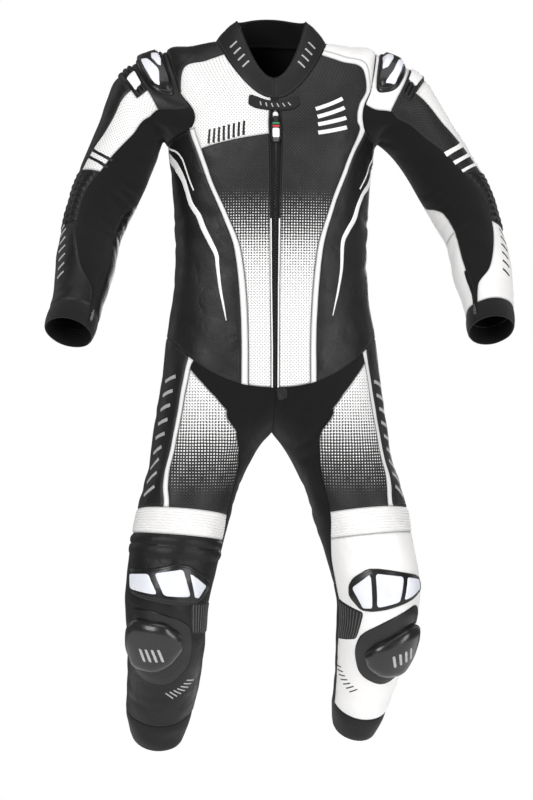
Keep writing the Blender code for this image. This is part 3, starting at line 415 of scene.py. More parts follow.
def armhole_cells():
    """Row and column of each armhole point, in the order of the armhole's table."""
    front = [(HOLE_LOW, c) for c in range(9, SIDE_FRONT, -1)]
    front += [(r, SIDE_FRONT) for r in range(HOLE_LOW, HOLE_HIGH)]
    top = [(HOLE_HIGH, c) for c in range(SIDE_FRONT, SIDE_BACK)]
    back = [(r, SIDE_BACK) for r in range(HOLE_HIGH, HOLE_LOW, -1)]
    return front + top + back + [(HOLE_LOW, c) for c in range(SIDE_BACK, 9, -1)]


def sleeve_grid():
    phi = np.zeros((len(SLEEVE_ROWS), 25))
    s = np.zeros_like(phi)
    for r, (place, rear, stretch, front, elbow) in enumerate(SLEEVE_ROWS):
        phi[r] = spread(SLEEVE_SEAMS, (rear, stretch, front, elbow, rear + 360), 24)
        s[r] = place
    return phi, s


def leg_grid(side):
    rows = LEG_ROWS[side]
    phi = np.zeros((len(rows) + 1, 25))
    s = np.zeros_like(phi)
    u, _ = torso_grid(side)
    phi[0, :HALF + 1] = PHI_FRONT + (PHI_BACK - PHI_FRONT) * u[0] / 180
    phi[0, HALF:] = np.linspace(PHI_BACK, 360 + PHI_FRONT, 7)
    for r, (place, inner, thigh, strip_in, strip_out, back, inner_back) in enumerate(rows, 1):
        values = (inner, thigh, strip_in, strip_out, back, inner_back, inner + 360)
        phi[r] = spread(LEG_SEAMS, values, 24)
        s[r] = place
    s[1] = APEX_ROW
    return phi, s


# Fine surface: base points and normals at any surface coordinates

SIDES = {"R": "right", "L": "left"}
SIDE_SIGN = {"right": -1, "left": 1}
CLOTH = 0.0021            # thickness of a cloth shell
CELL = 0.0060             # size of a fine cell
EDGE_LINES = (0.0011, 0.0030)         # extra fine lines beside a panel's edge
GROOVE, GROOVE_WIDTH = 0.0011, 0.0034     # how deep and how wide a seam sinks
SEAM_DRAW = 0.00016       # how far a shell's rim stays back from the seam
CROWN_FADE = (0.003, 0.016)           # distances from the edge over which a crown rises
RIB_FADE = (0.0005, 0.005)            # and over which ribs rise
LINES_A_RIB = 6
SHELL_SHARP = 55          # degrees


def collar_surface(u, t):
    """The collar above the neck seam, t from 0 to 2."""
    rings = [torso(u, np.full_like(u, 9.0))]
    for row in COLLAR:
        rings.append(ring_point(np.tile(np.array(row), (len(u), 1)), u))
    return smooth_rings(rings, t)


def base(kind, side, across, down):
    """Points of the plain surface. Torso and collar angles are negative on the wearer's right."""
    a = np.asarray(across, float)
    d = np.broadcast_to(np.asarray(down, float), a.shape)
    if kind in ("torso", "collar"):
        surface = torso if kind == "torso" else collar_surface
        points = surface(np.abs(a), d)
        points[:, 0] *= np.where(a < 0, -1.0, 1.0)
        return points
    surface = sleeve if kind == "sleeve" else leg
    return surface(a, d, side) * (SIDE_SIGN[side], 1, 1)


def tangents(kind, side, a, d):
    """Change of the point for one degree across and for one row down."""
    step_a, step_d = 0.5, 0.015
    along_a = (base(kind, side, a + step_a, d) - base(kind, side, a - step_a, d)) / (2 * step_a)
    low = np.maximum(d - step_d, 0)
    top = {"torso": 9.0, "collar": 2.0, "sleeve": 7.0, "leg": 9.0}[kind]
    high = np.minimum(d + step_d, top)
    along_d = (base(kind, side, a, high) - base(kind, side, a, low)) / (high - low)[:, None]
    return along_a, along_d


def unit(v):
    return v / np.maximum(np.linalg.norm(v, axis=-1, keepdims=True), 1e-12)


def facing(kind, side, a, d):
    """Outward normals."""
    along_a, along_d = tangents(kind, side, a, d)
    normal = unit(np.cross(along_a, along_d))
    if kind in ("sleeve", "leg"):
        normal = -normal * SIDE_SIGN[side]
    return normal


# Creases: soft troughs with a ridge beside them, given as paths on the surface
# kind, path of surface coordinates, half width in mm, depth in mm, the same on both sides
BOTH_CREASES = (
    # inner elbow and forearm
    ("sleeve", ((-78, 2.86), (-40, 2.98), (-4, 3.02)), 8.0, 2.6),
    ("sleeve", ((-92, 3.22), (-50, 3.26), (-8, 3.16)), 7.0, 3.0),
    ("sleeve", ((-70, 3.52), (-34, 3.48), (6, 3.34)), 8.5, 2.4),
    ("sleeve", ((-98, 3.80), (-62, 3.74), (-24, 3.66)), 6.5, 2.0),
    ("sleeve", ((-60, 4.12), (-30, 4.02), (2, 3.90)), 9.0, 1.6),
    ("sleeve", ((-84, 4.62), (-58, 4.40), (-26, 4.34)), 8.0, 1.3),
    # upper arm and armpit
    ("sleeve", ((-64, 0.42), (-40, 0.90), (-22, 1.44)), 10.0, 2.4),
    ("sleeve", ((-82, 0.60), (-66, 1.20), (-52, 1.80)), 9.0, 2.2),
    ("sleeve", ((-30, 0.50), (-18, 0.86), (-14, 1.24)), 8.0, 1.6),
    ("sleeve", ((-96, 1.70), (-60, 1.92), (-30, 2.04)), 10.0, 1.8),
    ("sleeve", ((-70, 2.30), (-44, 2.44), (-12, 2.36)), 8.0, 1.4),
    ("sleeve", ((-110, 0.5), (-122, 1.0), (-128, 1.5)), 9.0, 2.0),
    # back of the elbow and outer arm
    ("sleeve", ((120, 1.6), (160, 1.8), (190, 2.0)), 12.0, 1.3),
    ("sleeve", ((112, 3.9), (150, 4.1), (196, 4.0)), 9.0, 1.5),
    ("sleeve", ((130, 4.6), (165, 4.7), (205, 4.5)), 10.0, 1.2),
    ("sleeve", ((150, 2.6), (190, 2.8), (228, 2.9)), 9.0, 1.6),
    ("sleeve", ((160, 3.3), (200, 3.3), (240, 3.3)), 8.0, 1.8),
    ("sleeve", ((10, 5.9), (60, 6.1), (110, 6.0)), 9.0, 0.9),
    # flank and waist
    ("torso", ((62, 4.2), (80, 3.9), (104, 3.9)), 12.0, 1.5),
    ("torso", ((58, 2.9), (84, 2.62), (112, 2.75)), 10.0, 2.2),
    ("torso", ((70, 2.25), (96, 2.12), (120, 2.3)), 9.0, 1.8),
    ("torso", ((52, 1.75), (78, 1.6), (96, 1.72)), 10.0, 1.6),
    ("torso", ((84, 1.2), (108, 1.05), (128, 1.2)), 10.0, 1.6),
    ("torso", ((124, 5.4), (133, 4.9), (150, 4.5)), 12.0, 1.8),
    ("torso", ((122, 4.4), (138, 4.0), (156, 3.9)), 12.0, 1.3),
    # front of the body
    ("torso", ((46, 5.05), (36, 4.7), (24, 4.55)), 13.0, 1.1),
    ("torso", ((34, 2.2), (22, 2.05), (10, 2.1)), 12.0, 0.9),
    ("torso", ((26, 1.2), (15, 1.05), (6, 1.1)), 10.0, 0.8),
    # crotch and hips
    ("leg", ((-12, 0.22), (-34, 0.52), (-64, 0.86)), 8.0, 2.6),
    ("leg", ((4, 0.44), (-26, 0.78), (-58, 1.10)), 8.0, 2.2),
    ("leg", ((-30, 1.22), (-56, 1.34), (-84, 1.42)), 9.0, 2.0),
    ("leg", ((-60, 1.66), (-84, 1.84), (-118, 1.90)), 9.0, 1.6),
    ("leg", ((60, 0.5), (92, 0.62), (120, 0.55)), 12.0, 1.4),
    ("leg", ((150, 1.02), (180, 1.20), (214, 1.18)), 10.0, 2.6),
    ("leg", ((128, 1.34), (166, 1.50), (200, 1.44)), 10.0, 2.0),
    ("leg", ((176, 0.5), (196, 0.78), (226, 0.92)), 9.0, 2.0),
    # thigh
    ("leg", ((-70, 2.45), (-96, 2.6), (-128, 2.62)), 10.0, 1.7),
    ("leg", ((-84, 3.1), (-108, 3.18), (-136, 3.1)), 9.0, 1.6),
    ("leg", ((56, 2.1), (84, 2.3), (112, 2.25)), 12.0, 1.0),
    ("leg", ((140, 2.3), (170, 2.42), (205, 2.3)), 12.0, 1.5),
    # back of the knee
    ("leg", ((128, 4.02), (164, 4.16), (204, 4.06)), 8.0, 3.2),
    ("leg", ((138, 4.40), (176, 4.46), (222, 4.36)), 7.5, 3.4),
    ("leg", ((124, 4.74), (160, 4.80), (206, 4.70)), 8.5, 2.8),
    ("leg", ((146, 5.10), (182, 5.12), (226, 5.00)), 8.0, 2.4),
    ("leg", ((134, 5.52), (168, 5.50), (198, 5.42)), 9.0, 1.8),
    ("leg", ((-100, 4.3), (-124, 4.36), (-150, 4.34)), 8.0, 2.4),
    ("leg", ((-104, 4.8), (-128, 4.84), (-146, 4.78)), 8.0, 2.0),
    # shin
    ("leg", ((-60, 6.55), (-20, 6.82), (30, 6.86)), 9.0, 1.1),
    ("leg", ((20, 7.24), (60, 7.3), (96, 7.2)), 9.0, 1.3),
    ("leg", ((110, 6.4), (150, 6.6), (196, 6.5)), 10.0, 1.5),
    ("leg", ((120, 7.1), (170, 7.2), (210, 7.1)), 9.0, 1.5),
)
# kind, side, path, half width, depth
LONE_CREASES = (
    ("sleeve", "left", ((-34, 2.1), (-26, 2.5), (-10, 2.9)), 9.0, 1.8),
    ("sleeve", "right", ((-46, 1.6), (-30, 2.1), (-20, 2.5)), 9.0, 1.6),
    ("torso", "left", ((28, 3.6), (38, 3.2), (50, 3.0)), 11.0, 0.9),
    ("torso", "right", ((20, 3.3), (32, 3.0), (44, 2.95)), 12.0, 0.8),
    ("leg", "right", ((30, 4.06), (60, 4.14), (88, 4.02)), 8.0, 1.2),
    ("leg", "left", ((-50, 4.02), (-14, 4.12), (20, 4.08)), 9.0, 1.2),
    ("leg", "left", ((80, 4.9), (100, 5.1), (112, 5.5)), 9.0, 1.4),
    ("torso", "left", ((150, 2.2), (165, 2.05), (180, 2.1)), 10.0, 2.0),
    ("torso", "right", ((146, 1.6), (162, 1.45), (180, 1.5)), 10.0, 1.8),
)


def through(path, count):
    """Points of a smooth curve through a path's points."""
    path = np.asarray(path, float)
    return smooth_rows(path, np.linspace(0, len(path) - 1, count))


def crease_lines():
    """Each crease as points in space, depths along it and half width, a little uneven from side to side."""
    rng = np.random.default_rng(41)
    rows = [(kind, side, path, width, depth) for kind, path, width,
            depth in BOTH_CREASES for side in SIDE_SIGN]
    result = []
    for kind, side, path, width, depth in rows + list(LONE_CREASES):
        count = 40
        path = np.asarray(path, float) + rng.normal(size=(len(path), 2)) * (2.5, 0.02)
        curve = through(path, count)
        a = curve[:, 0] * (SIDE_SIGN[side] if kind == "torso" else 1)
        points = base(kind, side, a, curve[:, 1])
        share = np.linspace(0, 1, count)
        lean = rng.uniform(0.35, 0.65)
        swell = np.interp(share, (0, 0.14, lean, 0.86, 1), (0, 0.55, 1, 0.5, 0))
        result.append((points, swell * depth * 0.001 * rng.uniform(0.85, 1.15), width * 0.001))
    return result


CREASES = crease_lines()


def slack_waves():
    """Random smooth waves for the slight unevenness of worn leather: wave vectors, phases and heights."""
    rng = np.random.default_rng(12)
    waves = []
    for length, height, count in ((0.110, 0.00042, 7), (0.045, 0.00016, 9)):
        for _ in range(count):
            waves.append((unit(rng.normal(size=3)) * 2 * math.pi / length, rng.uniform(0, 2 * math.pi),
                          height))
    return waves


WAVES = slack_waves()


def wrinkle(points):
    """Height of creases and slack at points in space."""
    height = np.zeros(len(points))
    for vector, phase, size in WAVES:
        height += size * np.sin(points @ vector + phase)
    for line, depth, width in CREASES:
        reach = 3 * width
        near = np.all((points > line.min(0) - reach) & (points < line.max(0) + reach), axis=1)
        if not near.any():
            continue
        gap = np.linalg.norm(points[near][:, None] - line[None], axis=2)
        k = gap.argmin(1)
        x = gap[np.arange(len(k)), k] / width
        height[near] -= depth[k] * (1 - 0.9 * x * x) * np.exp(-x * x / 1.3)
    return height


def on_surface(kind, side, a, d, height=0.0):
    """Points at a height above the wrinkled surface, and their normals."""
    a = np.asarray(a, float)
    d = np.broadcast_to(np.asarray(d, float), a.shape)
    points = base(kind, side, a, d)
    normals = facing(kind, side, a, d)
    rise = np.asarray(wrinkle(points) + height)
    return points + normals * rise[:, None], normals


def moved(kind, side, a, d, vectors):
    """Surface coordinates after small moves in space along the surface."""
    along_a, along_d = tangents(kind, side, a, d)
    aa = (along_a * along_a).sum(1)
    dd = (along_d * along_d).sum(1)
    ad = (along_a * along_d).sum(1)
    va = (vectors * along_a).sum(1)
    vd = (vectors * along_d).sum(1)
    det = np.maximum(aa * dd - ad * ad, 1e-14)
    return a + (va * dd - vd * ad) / det, d + (vd * aa - va * ad) / det


# Grids in surface coordinates

def monotone(table):
    """Slopes through a table's rows that never overshoot."""
    step = np.diff(table, axis=0)
    slope = np.zeros_like(table)
    same = step[:-1] * step[1:] > 0
    total = np.where(same, step[:-1] + step[1:], 1)
    slope[1:-1] = np.where(same, 2 * step[:-1] * step[1:] / total, 0)
    slope[0] = step[0]
    slope[-1] = step[-1]
    return slope


def grid_values(table, rows, columns):
    """A table's values between its grid rows, smooth, and between its columns, straight."""
    slope = monotone(table)
    k = np.minimum(rows.astype(int), len(table) - 2)
    f = (rows - k)[:, None]
    at_rows = blend(table[k], table[k + 1], slope[k], slope[k + 1], f)
    j = np.minimum(columns.astype(int), table.shape[1] - 2)
    g = columns - j
    return at_rows[:, j] * (1 - g) + at_rows[:, j + 1] * g


def tables_of(kind, side):
    """The two surface coordinates at the grid's points."""
    if kind == "torso":
        return torso_grid(side)
    if kind == "collar":
        u, _ = torso_grid(side)
        return np.tile(u[NECK_ROW], (3, 1)), np.repeat(np.arange(3.0)[:, None], HALF + 1, 1)
    return sleeve_grid() if kind == "sleeve" else leg_grid(side)


TABLES = {(kind, side): tables_of(kind, side) for kind in ("torso", "collar", "sleeve",
                                                           "leg") for side in SIDE_SIGN}


def hole_angle(r, c):
    """Angle on the armhole of a place on its edge in the torso's grid."""
    if r == HOLE_HIGH:
        return 30 + 15 * (c - SIDE_FRONT)
    if r == HOLE_LOW:
        return -90 + 15 * (9 - c) if c <= 9 else 210 + 15 * (SIDE_BACK - c)
    if c == SIDE_FRONT:
        return -30 + 15 * (r - HOLE_LOW)
    return 150 + 15 * (HOLE_HIGH - r)


def fit_armhole(side, rows, columns, u, v):
    """Draws the grid lines round the armhole onto its true curve, fading out over one cell."""
    spans = []
    for j, c in enumerate(columns):
        if SIDE_FRONT <= c <= SIDE_BACK:
            spans.append((hole_angle(HOLE_HIGH, c), [(i, j, 1 - (r - HOLE_HIGH)) for i, r in enumerate(rows)
                                                     if HOLE_HIGH <= r < HOLE_HIGH + 1]))
            spans.append((hole_angle(HOLE_LOW, c), [(i, j, 1 - (HOLE_LOW - r)) for i, r in enumerate(rows)
                                                    if HOLE_LOW - 1 < r <= HOLE_LOW]))
    for i, r in enumerate(rows):
        if HOLE_LOW < r < HOLE_HIGH:
            spans.append((hole_angle(r, SIDE_FRONT), [(i, j, 1 - (SIDE_FRONT - c)) for j,
                                                      c in enumerate(columns)
                                                      if SIDE_FRONT - 1 < c <= SIDE_FRONT]))
            spans.append((hole_angle(r, SIDE_BACK), [(i, j, 1 - (c - SIDE_BACK)) for j,
                                                     c in enumerate(columns)
                                                     if SIDE_BACK <= c < SIDE_BACK + 1]))
    for angle, members in spans:
        edge = [m for m in members if m[2] == 1]
        if not edge:
            continue
        hole_u, hole_v = armhole(np.array([angle], float), side)
        i0, j0, _ = edge[0]
        du, dv = hole_u[0] - u[i0, j0], hole_v[0] - v[i0, j0]
        for i, j, share in members:
            u[i, j] += du * share
            v[i, j] += dv * share
    return u, v


def sub_lines(length, start_edge, end_edge, slices):
    """Places between two grid lines, with extra ones beside a panel's edge."""
    count = slices or max(2, int(math.ceil(length / CELL)))
    places = [i / count for i in range(count)]
    extra = []
    for d in EDGE_LINES:
        if d / length < 0.35:
            extra += [d / length] if start_edge else []
            extra += [1 - d / length] if end_edge else []
    kept = [p for p in places if p == 0 or all(abs(p - e) > 0.3 / count for e in extra)]
    return sorted(kept + extra)


def lines_along(cells, axis, points, slices_at):
    """Fine grid lines along one axis for the cells of a panel."""
    cells = set(cells)
    used = sorted({cell[axis] for cell in cells})
    lines = []
    for k in used:
        here = [cell for cell in cells if cell[axis] == k]
        length = 0.0
        start_edge = end_edge = False
        for cell in here:
            other = list(cell)
            other[axis] += 1
            span = points[tuple(other)] - points[cell]
            length = max(length, float(np.linalg.norm(span)))
            before = list(cell)
            before[axis] -= 1
            start_edge = start_edge or tuple(before) not in cells
            end_edge = end_edge or tuple(other) not in cells
        lines += [k + p for p in sub_lines(length, start_edge, end_edge, slices_at.get(k))]
        if k + 1 not in used:
            lines.append(k + 1.0)
    return np.array(sorted(set(lines)))


class Cloth:
    """One panel's fine points: base points, normals, pattern coordinates, grid place and faces."""

    def __init__(self, parts, slices=None):
        self.points, self.normals, self.uv, self.place = [], [], [], []
        self.faces = []
        count = 0
        for kind, side, cells in parts:
            block_points, block_normals, block_uv, block_place, block_faces = fine_block(
                kind, side, cells, slices or {})
            self.points.append(block_points)
            self.normals.append(block_normals)
            self.uv.append(block_uv)
            self.place.append(block_place)
            self.faces += [tuple(i + count for i in face) for face in block_faces]
            count += len(block_points)
        self.points = np.concatenate(self.points)
        self.normals = np.concatenate(self.normals)
        self.uv = np.concatenate(self.uv)
        self.place = np.concatenate(self.place)
        self.merge(parts[0][0] == "collar")
        self.find_rim()

    def merge(self, split_front):
        """Joins the points that two parts share. A collar stays open at the centre front."""
        seen = {}
        renamed = []
        for i, p in enumerate(np.round(self.points, 5)):
            key = tuple(p)
            if split_front and self.place[i, 1] == 0:
                key = (i,)
            renamed.append(seen.setdefault(key, i))
        kept = sorted(set(renamed))
        order = {old: new for new, old in enumerate(kept)}
        pairs = [(face, tuple(order[renamed[i]] for i in face)) for face in self.faces]
        pairs = [(old, new) for old, new in pairs if len(set(new)) == len(new)]
        self.faces = [new for _, new in pairs]
        self.corner_uv = np.concatenate([self.uv[list(old)] for old, _ in pairs])
        total = np.zeros_like(self.normals)
        np.add.at(total, np.array(renamed), self.normals)
        self.points, self.uv, self.place = self.points[kept], self.uv[kept], self.place[kept]
        self.normals = unit(total[kept])

    def find_rim(self):
        """Rim edges, the way inwards at each rim point, and every point's distance from the rim."""
        owner = {}
        for index, face in enumerate(self.faces):
            for a, b in zip(face, face[1:] + face[:1]):
                owner[a, b] = index
        self.rim = [edge for edge in owner if edge[::-1] not in owner]
        self.inward = np.zeros_like(self.points)
        for a, b in self.rim:
            along = self.points[b] - self.points[a]
            way = np.cross(self.normals[a] + self.normals[b], along)
            size = np.linalg.norm(way)
            if size > 1e-12:
                self.inward[a] += way / size
                self.inward[b] += way / size
        rim_points = sorted({i for edge in self.rim for i in edge})
        self.inward[rim_points] = unit(self.inward[rim_points])
        spots = self.points[rim_points]
        self.edge = np.concatenate([
            np.linalg.norm(chunk[:, None] - spots[None], axis=2).min(1)
            for chunk in np.array_split(self.points, max(1, len(self.points) // 800))])


def fine_block(kind, side, cells, slices):
    """Fine points and faces of some cells of one grid."""
    across, down = TABLES[kind, side]
    signed = SIDE_SIGN[side] if kind in ("torso", "collar") else 1
    coarse = base(kind, side, (across * signed).ravel(), down.ravel()).reshape(across.shape + (3,))
    rows = lines_along(cells, 0, coarse, slices)
    columns = lines_along(cells, 1, coarse, {})
    a = grid_values(across, rows, columns)
    d = grid_values(down, rows, columns)
    if kind == "torso":
        a, d = fit_armhole(side, rows, columns, a, d)
    shape = a.shape
    points = base(kind, side, (a * signed).ravel(), d.ravel())
    normals = facing(kind, side, (a * signed).ravel(), d.ravel())
    uv = pattern_uv(kind, side, points.reshape(shape + (3,)), a, d).reshape(-1, 2)
    place = np.stack(np.meshgrid(rows, columns, indexing="ij"), -1).reshape(-1, 2)
    wanted = set(cells)
    faces = []
    used = {}
    flip = (SIDE_SIGN[side] < 0) == (kind in ("torso", "collar"))
    for i in range(len(rows) - 1):
        for j in range(len(columns) - 1):
            middle = ((rows[i] + rows[i + 1]) / 2, (columns[j] + columns[j + 1]) / 2)
            if (int(middle[0]), int(middle[1])) not in wanted:
                continue
            corners = [i * shape[1] + j, i * shape[1] + j + 1, (i + 1) * shape[1] + j + 1,
                       (i + 1) * shape[1] + j]
            corners = [used.setdefault(k, len(used)) for k in corners]
            faces.append(tuple(corners[::-1]) if flip else tuple(corners))
    order = list(used)
    return points[order], normals[order], uv[order], place[order], faces


def pattern_uv(kind, side, points, a, d):
    """Flat pattern coordinates in metres."""
    if kind in ("torso", "collar"):
        step = np.linalg.norm(np.diff(points, axis=1), axis=2)
        u = np.concatenate([np.zeros((len(points), 1)), np.cumsum(step, axis=1)], axis=1)
        u += np.abs(points[:, :1, 0])
        return np.stack([u * SIDE_SIGN[side], points[..., 2]], -1)
    if kind == "leg":
        step = np.linalg.norm(np.diff(points[..., :2], axis=1), axis=2)
        u = np.concatenate([np.zeros((len(points), 1)), np.cumsum(step, axis=1)], axis=1)
        start = np.abs(a).argmin(1)
        rows = np.arange(len(a))
        u = u - u[rows, start][:, None] + np.abs(points[rows, start, 0])[:, None]
        return np.stack([u * SIDE_SIGN[side], points[..., 2]], -1)
    steps = np.linspace(0, 7, 181)
    middle = base(kind, side, np.full(181, 30.0), steps)
    length = np.concatenate([[0], np.cumsum(np.linalg.norm(np.diff(middle, axis=0), axis=1))])
    return np.stack([np.radians(a) * 0.062 * SIDE_SIGN[side], -np.interp(d, steps, length)], -1)


def smooth_step(x, low, high):
    t = np.clip((x - low) / (high - low), 0, 1)
    return t * t * (3 - 2 * t)


# Materials

class Paint:
    """A material's node tree with short helpers."""

    def __init__(self, name):
        self.material = bpy.data.materials.new(name)
        self.material.use_nodes = True
        self.tree = self.material.node_tree
        self.shader = self.tree.nodes["Principled BSDF"]

    def node(self, kind, links=None, **settings):
        node = self.tree.nodes.new(kind)
        for key, value in settings.items():
            setattr(node, key, value)
        for key, value in (links or {}).items():
            self.feed(node.inputs[key], value)
        return node

    def feed(self, socket, value):
        if isinstance(value, bpy.types.NodeSocket):
            self.tree.links.new(value, socket)
        else:
            socket.default_value = value

    def math(self, operation, a, b=0.0, c=0.0):
        node = self.node("ShaderNodeMath", operation=operation)
        for socket, value in zip(node.inputs, (a, b, c)):
            self.feed(socket, value)
        return node.outputs[0]

    def span(self, value, low, high, start, end):
        """Maps low..high to start..end, held at the ends."""
        node = self.node("ShaderNodeMapRange", {"Value": value}, clamp=True)
        for key, number in (("From Min", low), ("From Max", high), ("To Min", start), ("To Max", end)):
            node.inputs[key].default_value = number
        return node.outputs["Result"]

    def mix(self, share, a, b):
        node = self.node("ShaderNodeMix", data_type="RGBA")
        self.feed(node.inputs["Factor"], share)
        self.feed(node.inputs["A"], a)
        self.feed(node.inputs["B"], b)
        return node.outputs["Result"]

    def noise(self, scale, detail=3.0, roughness=0.55):
        place = self.node("ShaderNodeTexCoord").outputs["Object"]
        node = self.node("ShaderNodeTexNoise", {"Vector": place, "Scale": scale, "Detail": detail,
                                                "Roughness": roughness})
        return node.outputs["Fac"]

    def cells(self, scale):
        place = self.node("ShaderNodeTexCoord").outputs["Object"]
        node = self.node("ShaderNodeTexVoronoi", {"Vector": place, "Scale": scale}, feature="F1")
        return node.outputs["Distance"]

    def bump(self, height, strength, distance, under=None):
        node = self.node("ShaderNodeBump", {"Height": height, "Strength": strength, "Distance": distance})
        if under is not None:
            self.feed(node.inputs["Normal"], under)
        return node.outputs["Normal"]

    def pattern(self):
        """The two flat pattern coordinates and the height above the origin."""
        flat = self.node("ShaderNodeUVMap", uv_map="Pattern").outputs[0]
        uv = self.node("ShaderNodeSeparateXYZ", {"Vector": flat})
        place = self.node("ShaderNodeTexCoord").outputs["Object"]
        at = self.node("ShaderNodeSeparateXYZ", {"Vector": place})
        return uv.outputs["X"], uv.outputs["Y"], at.outputs["Z"]

    def edge(self):
        return self.node("ShaderNodeAttribute", attribute_name="edge").outputs["Fac"]


def grey(value, warm=0.0):
    return (value * (1 + warm), value, value * (1 - warm), 1)


HOLE_PITCH, HOLE_RADIUS, HOLE_BLUR = 0.0048, 0.00088, 0.00012
TORSO_DOTS, THIGH_DOTS = 0.0053, 0.0058
WHITE, BLACK = (0.76, 0.752, 0.746, 1), (0.0062, 0.0062, 0.0066, 1)


def punched(paint):
    """1 inside the punched holes of a diagonal pattern."""
    x, y, _ = paint.pattern()
    size = HOLE_PITCH * math.sqrt(2)
    along = paint.math("DIVIDE", paint.math("ADD", x, y), size)
    over = paint.math("DIVIDE", paint.math("SUBTRACT", x, y), size)
    fx = paint.math("SUBTRACT", paint.math("FRACT", along), 0.5)
    fy = paint.math("SUBTRACT", paint.math("FRACT", over), 0.5)
    squares = paint.math("ADD", paint.math("MULTIPLY", fx, fx), paint.math("MULTIPLY", fy, fy))
    inner, outer = (HOLE_RADIUS - HOLE_BLUR) / HOLE_PITCH, (HOLE_RADIUS + HOLE_BLUR) / HOLE_PITCH
    return paint.span(paint.math("SQRT", squares), inner, outer, 1.0, 0.0)


def fading_dots(paint, stops, pitch):
    """White share of a square halftone whose tone follows the height: stops are (height, tone)."""
    x, y, z = paint.pattern()
    tone = 0.0
    for (z0, t0), (z1, t1) in zip(stops, stops[1:]):
        tone = paint.math("ADD", tone, paint.span(z, z1, z0, t1 - t0, 0.0))
    waves = [paint.math("COSINE", paint.math("MULTIPLY", v, 2 * math.pi / pitch)) for v in (x, y)]
    height = paint.math("MULTIPLY_ADD", paint.math("ADD", *waves), 0.25, 0.5)
    level = paint.math("ADD", height, paint.math("ADD", tone, stops[0][1]))
    return paint.span(level, 0.99, 1.06, 0.0, 1.0), paint.math("ADD", tone, stops[0][1])


def scaled(color, share, most=math.inf):
    """A colour made darker or lighter."""
    return tuple(min(most, c * share) for c in color[:3]) + (1,)


def leather(name, color, gloss=0.42, holes=False, dots=None, pitch=None):
    """Grained cowhide: pebble grain, soft creasing, painted shade in the seam grooves, worn edges, punched
    holes or a printed halftone.
    """
    paint = Paint(name)
    pale = color[0] > 0.2
    tint = paint.noise(7.0, 4.0)
    dark = scaled(color, 0.86)
    light = tuple(min(0.84, c * 1.07 + 0.002) for c in color[:3]) + (1,)
    body = paint.mix(tint, dark, light)
    hole = None
    if dots:
        share, tone = fading_dots(paint, dots, pitch)
        body = paint.mix(share, paint.mix(tint, grey(0.010), grey(0.015)), paint.mix(tint, grey(0.70), WHITE))
        hole = punched(paint)
        body = paint.mix(hole, body, paint.mix(tone, grey(0.040), grey(0.17)))
    elif holes:
        hole = punched(paint)
        body = paint.mix(hole, body, grey(0.17 if pale else 0.040))
    # Painted shade: the colour darkens over the last 3.5 mm towards each panel's edge, in its sunken seam
    # groove (to grey 0.33 on pale leather)
    seam = paint.mix(paint.span(paint.edge(), 0.0, 0.0035, 0.0, 1.0), grey(0.33 if pale else 0.006), body)
    wear = paint.math("MULTIPLY", paint.span(paint.edge(), 0.002, 0.006, 0.20, 0.0), paint.noise(160.0, 2.0))
    worn = paint.mix(wear, seam, grey(0.50, 0.02) if pale else grey(0.05))
    paint.feed(paint.shader.inputs["Base Color"], worn)
    rough = paint.span(paint.noise(16.0, 4.0), 0.3, 0.7, gloss - 0.07, gloss + 0.12)
    paint.feed(paint.shader.inputs["Roughness"], rough)
    paint.shader.inputs["Specular IOR Level"].default_value = 0.30 if pale else 0.24
    crumple = paint.math("ABSOLUTE", paint.math("SUBTRACT", paint.noise(11.0, 3.0, 0.5), 0.5))
    lines = paint.bump(paint.span(crumple, 0.0, 0.07, 0.0, 1.0), 0.16, 0.0030)
    folds = paint.bump(paint.noise(30.0, 5.0, 0.62), 0.45, 0.0030, lines)
    fine = paint.bump(paint.cells(620.0), 0.5, 0.00035, folds)
    lines = paint.bump(paint.noise(260.0, 3.0), 0.22, 0.0004, fine)
    if hole is not None:
        lines = paint.bump(paint.math("MULTIPLY", hole, -1.0), 0.8, 0.0006, lines)
    paint.feed(paint.shader.inputs["Normal"], lines)
    return paint.material


def woven(name, color, pitch, rough, rib=1.0, fuzz=0.1):
    """Stretch weave or knit: fine rows along the piece with a soft bloom of light at its edges."""
    paint = Paint(name)
    x, y, _ = paint.pattern()
    row = paint.math("SINE", paint.math("MULTIPLY", y, 2 * math.pi / pitch))
    stitch = paint.math("SINE", paint.math("MULTIPLY", x, 2 * math.pi / (pitch * 0.72)))
    thread = paint.math("MULTIPLY_ADD", paint.math("MULTIPLY", row, stitch), 0.5, 0.5)
    tint = paint.math("MULTIPLY_ADD", paint.noise(11.0, 4.0), 0.7, paint.math("MULTIPLY", thread, 0.3))
    body = paint.mix(tint, scaled(color, 0.7), scaled(color, 1.5))
    paint.feed(paint.shader.inputs["Base Color"], body)
    paint.shader.inputs["Roughness"].default_value = rough
    paint.shader.inputs["Sheen Weight"].default_value = fuzz
    paint.shader.inputs["Sheen Roughness"].default_value = 0.5
    paint.shader.inputs["Specular IOR Level"].default_value = 0.15
    soft = paint.bump(paint.noise(30.0, 4.0), 0.35, 0.0025)
    paint.feed(paint.shader.inputs["Normal"], paint.bump(thread, 0.5 * rib, 0.0004, soft))
    return paint.material


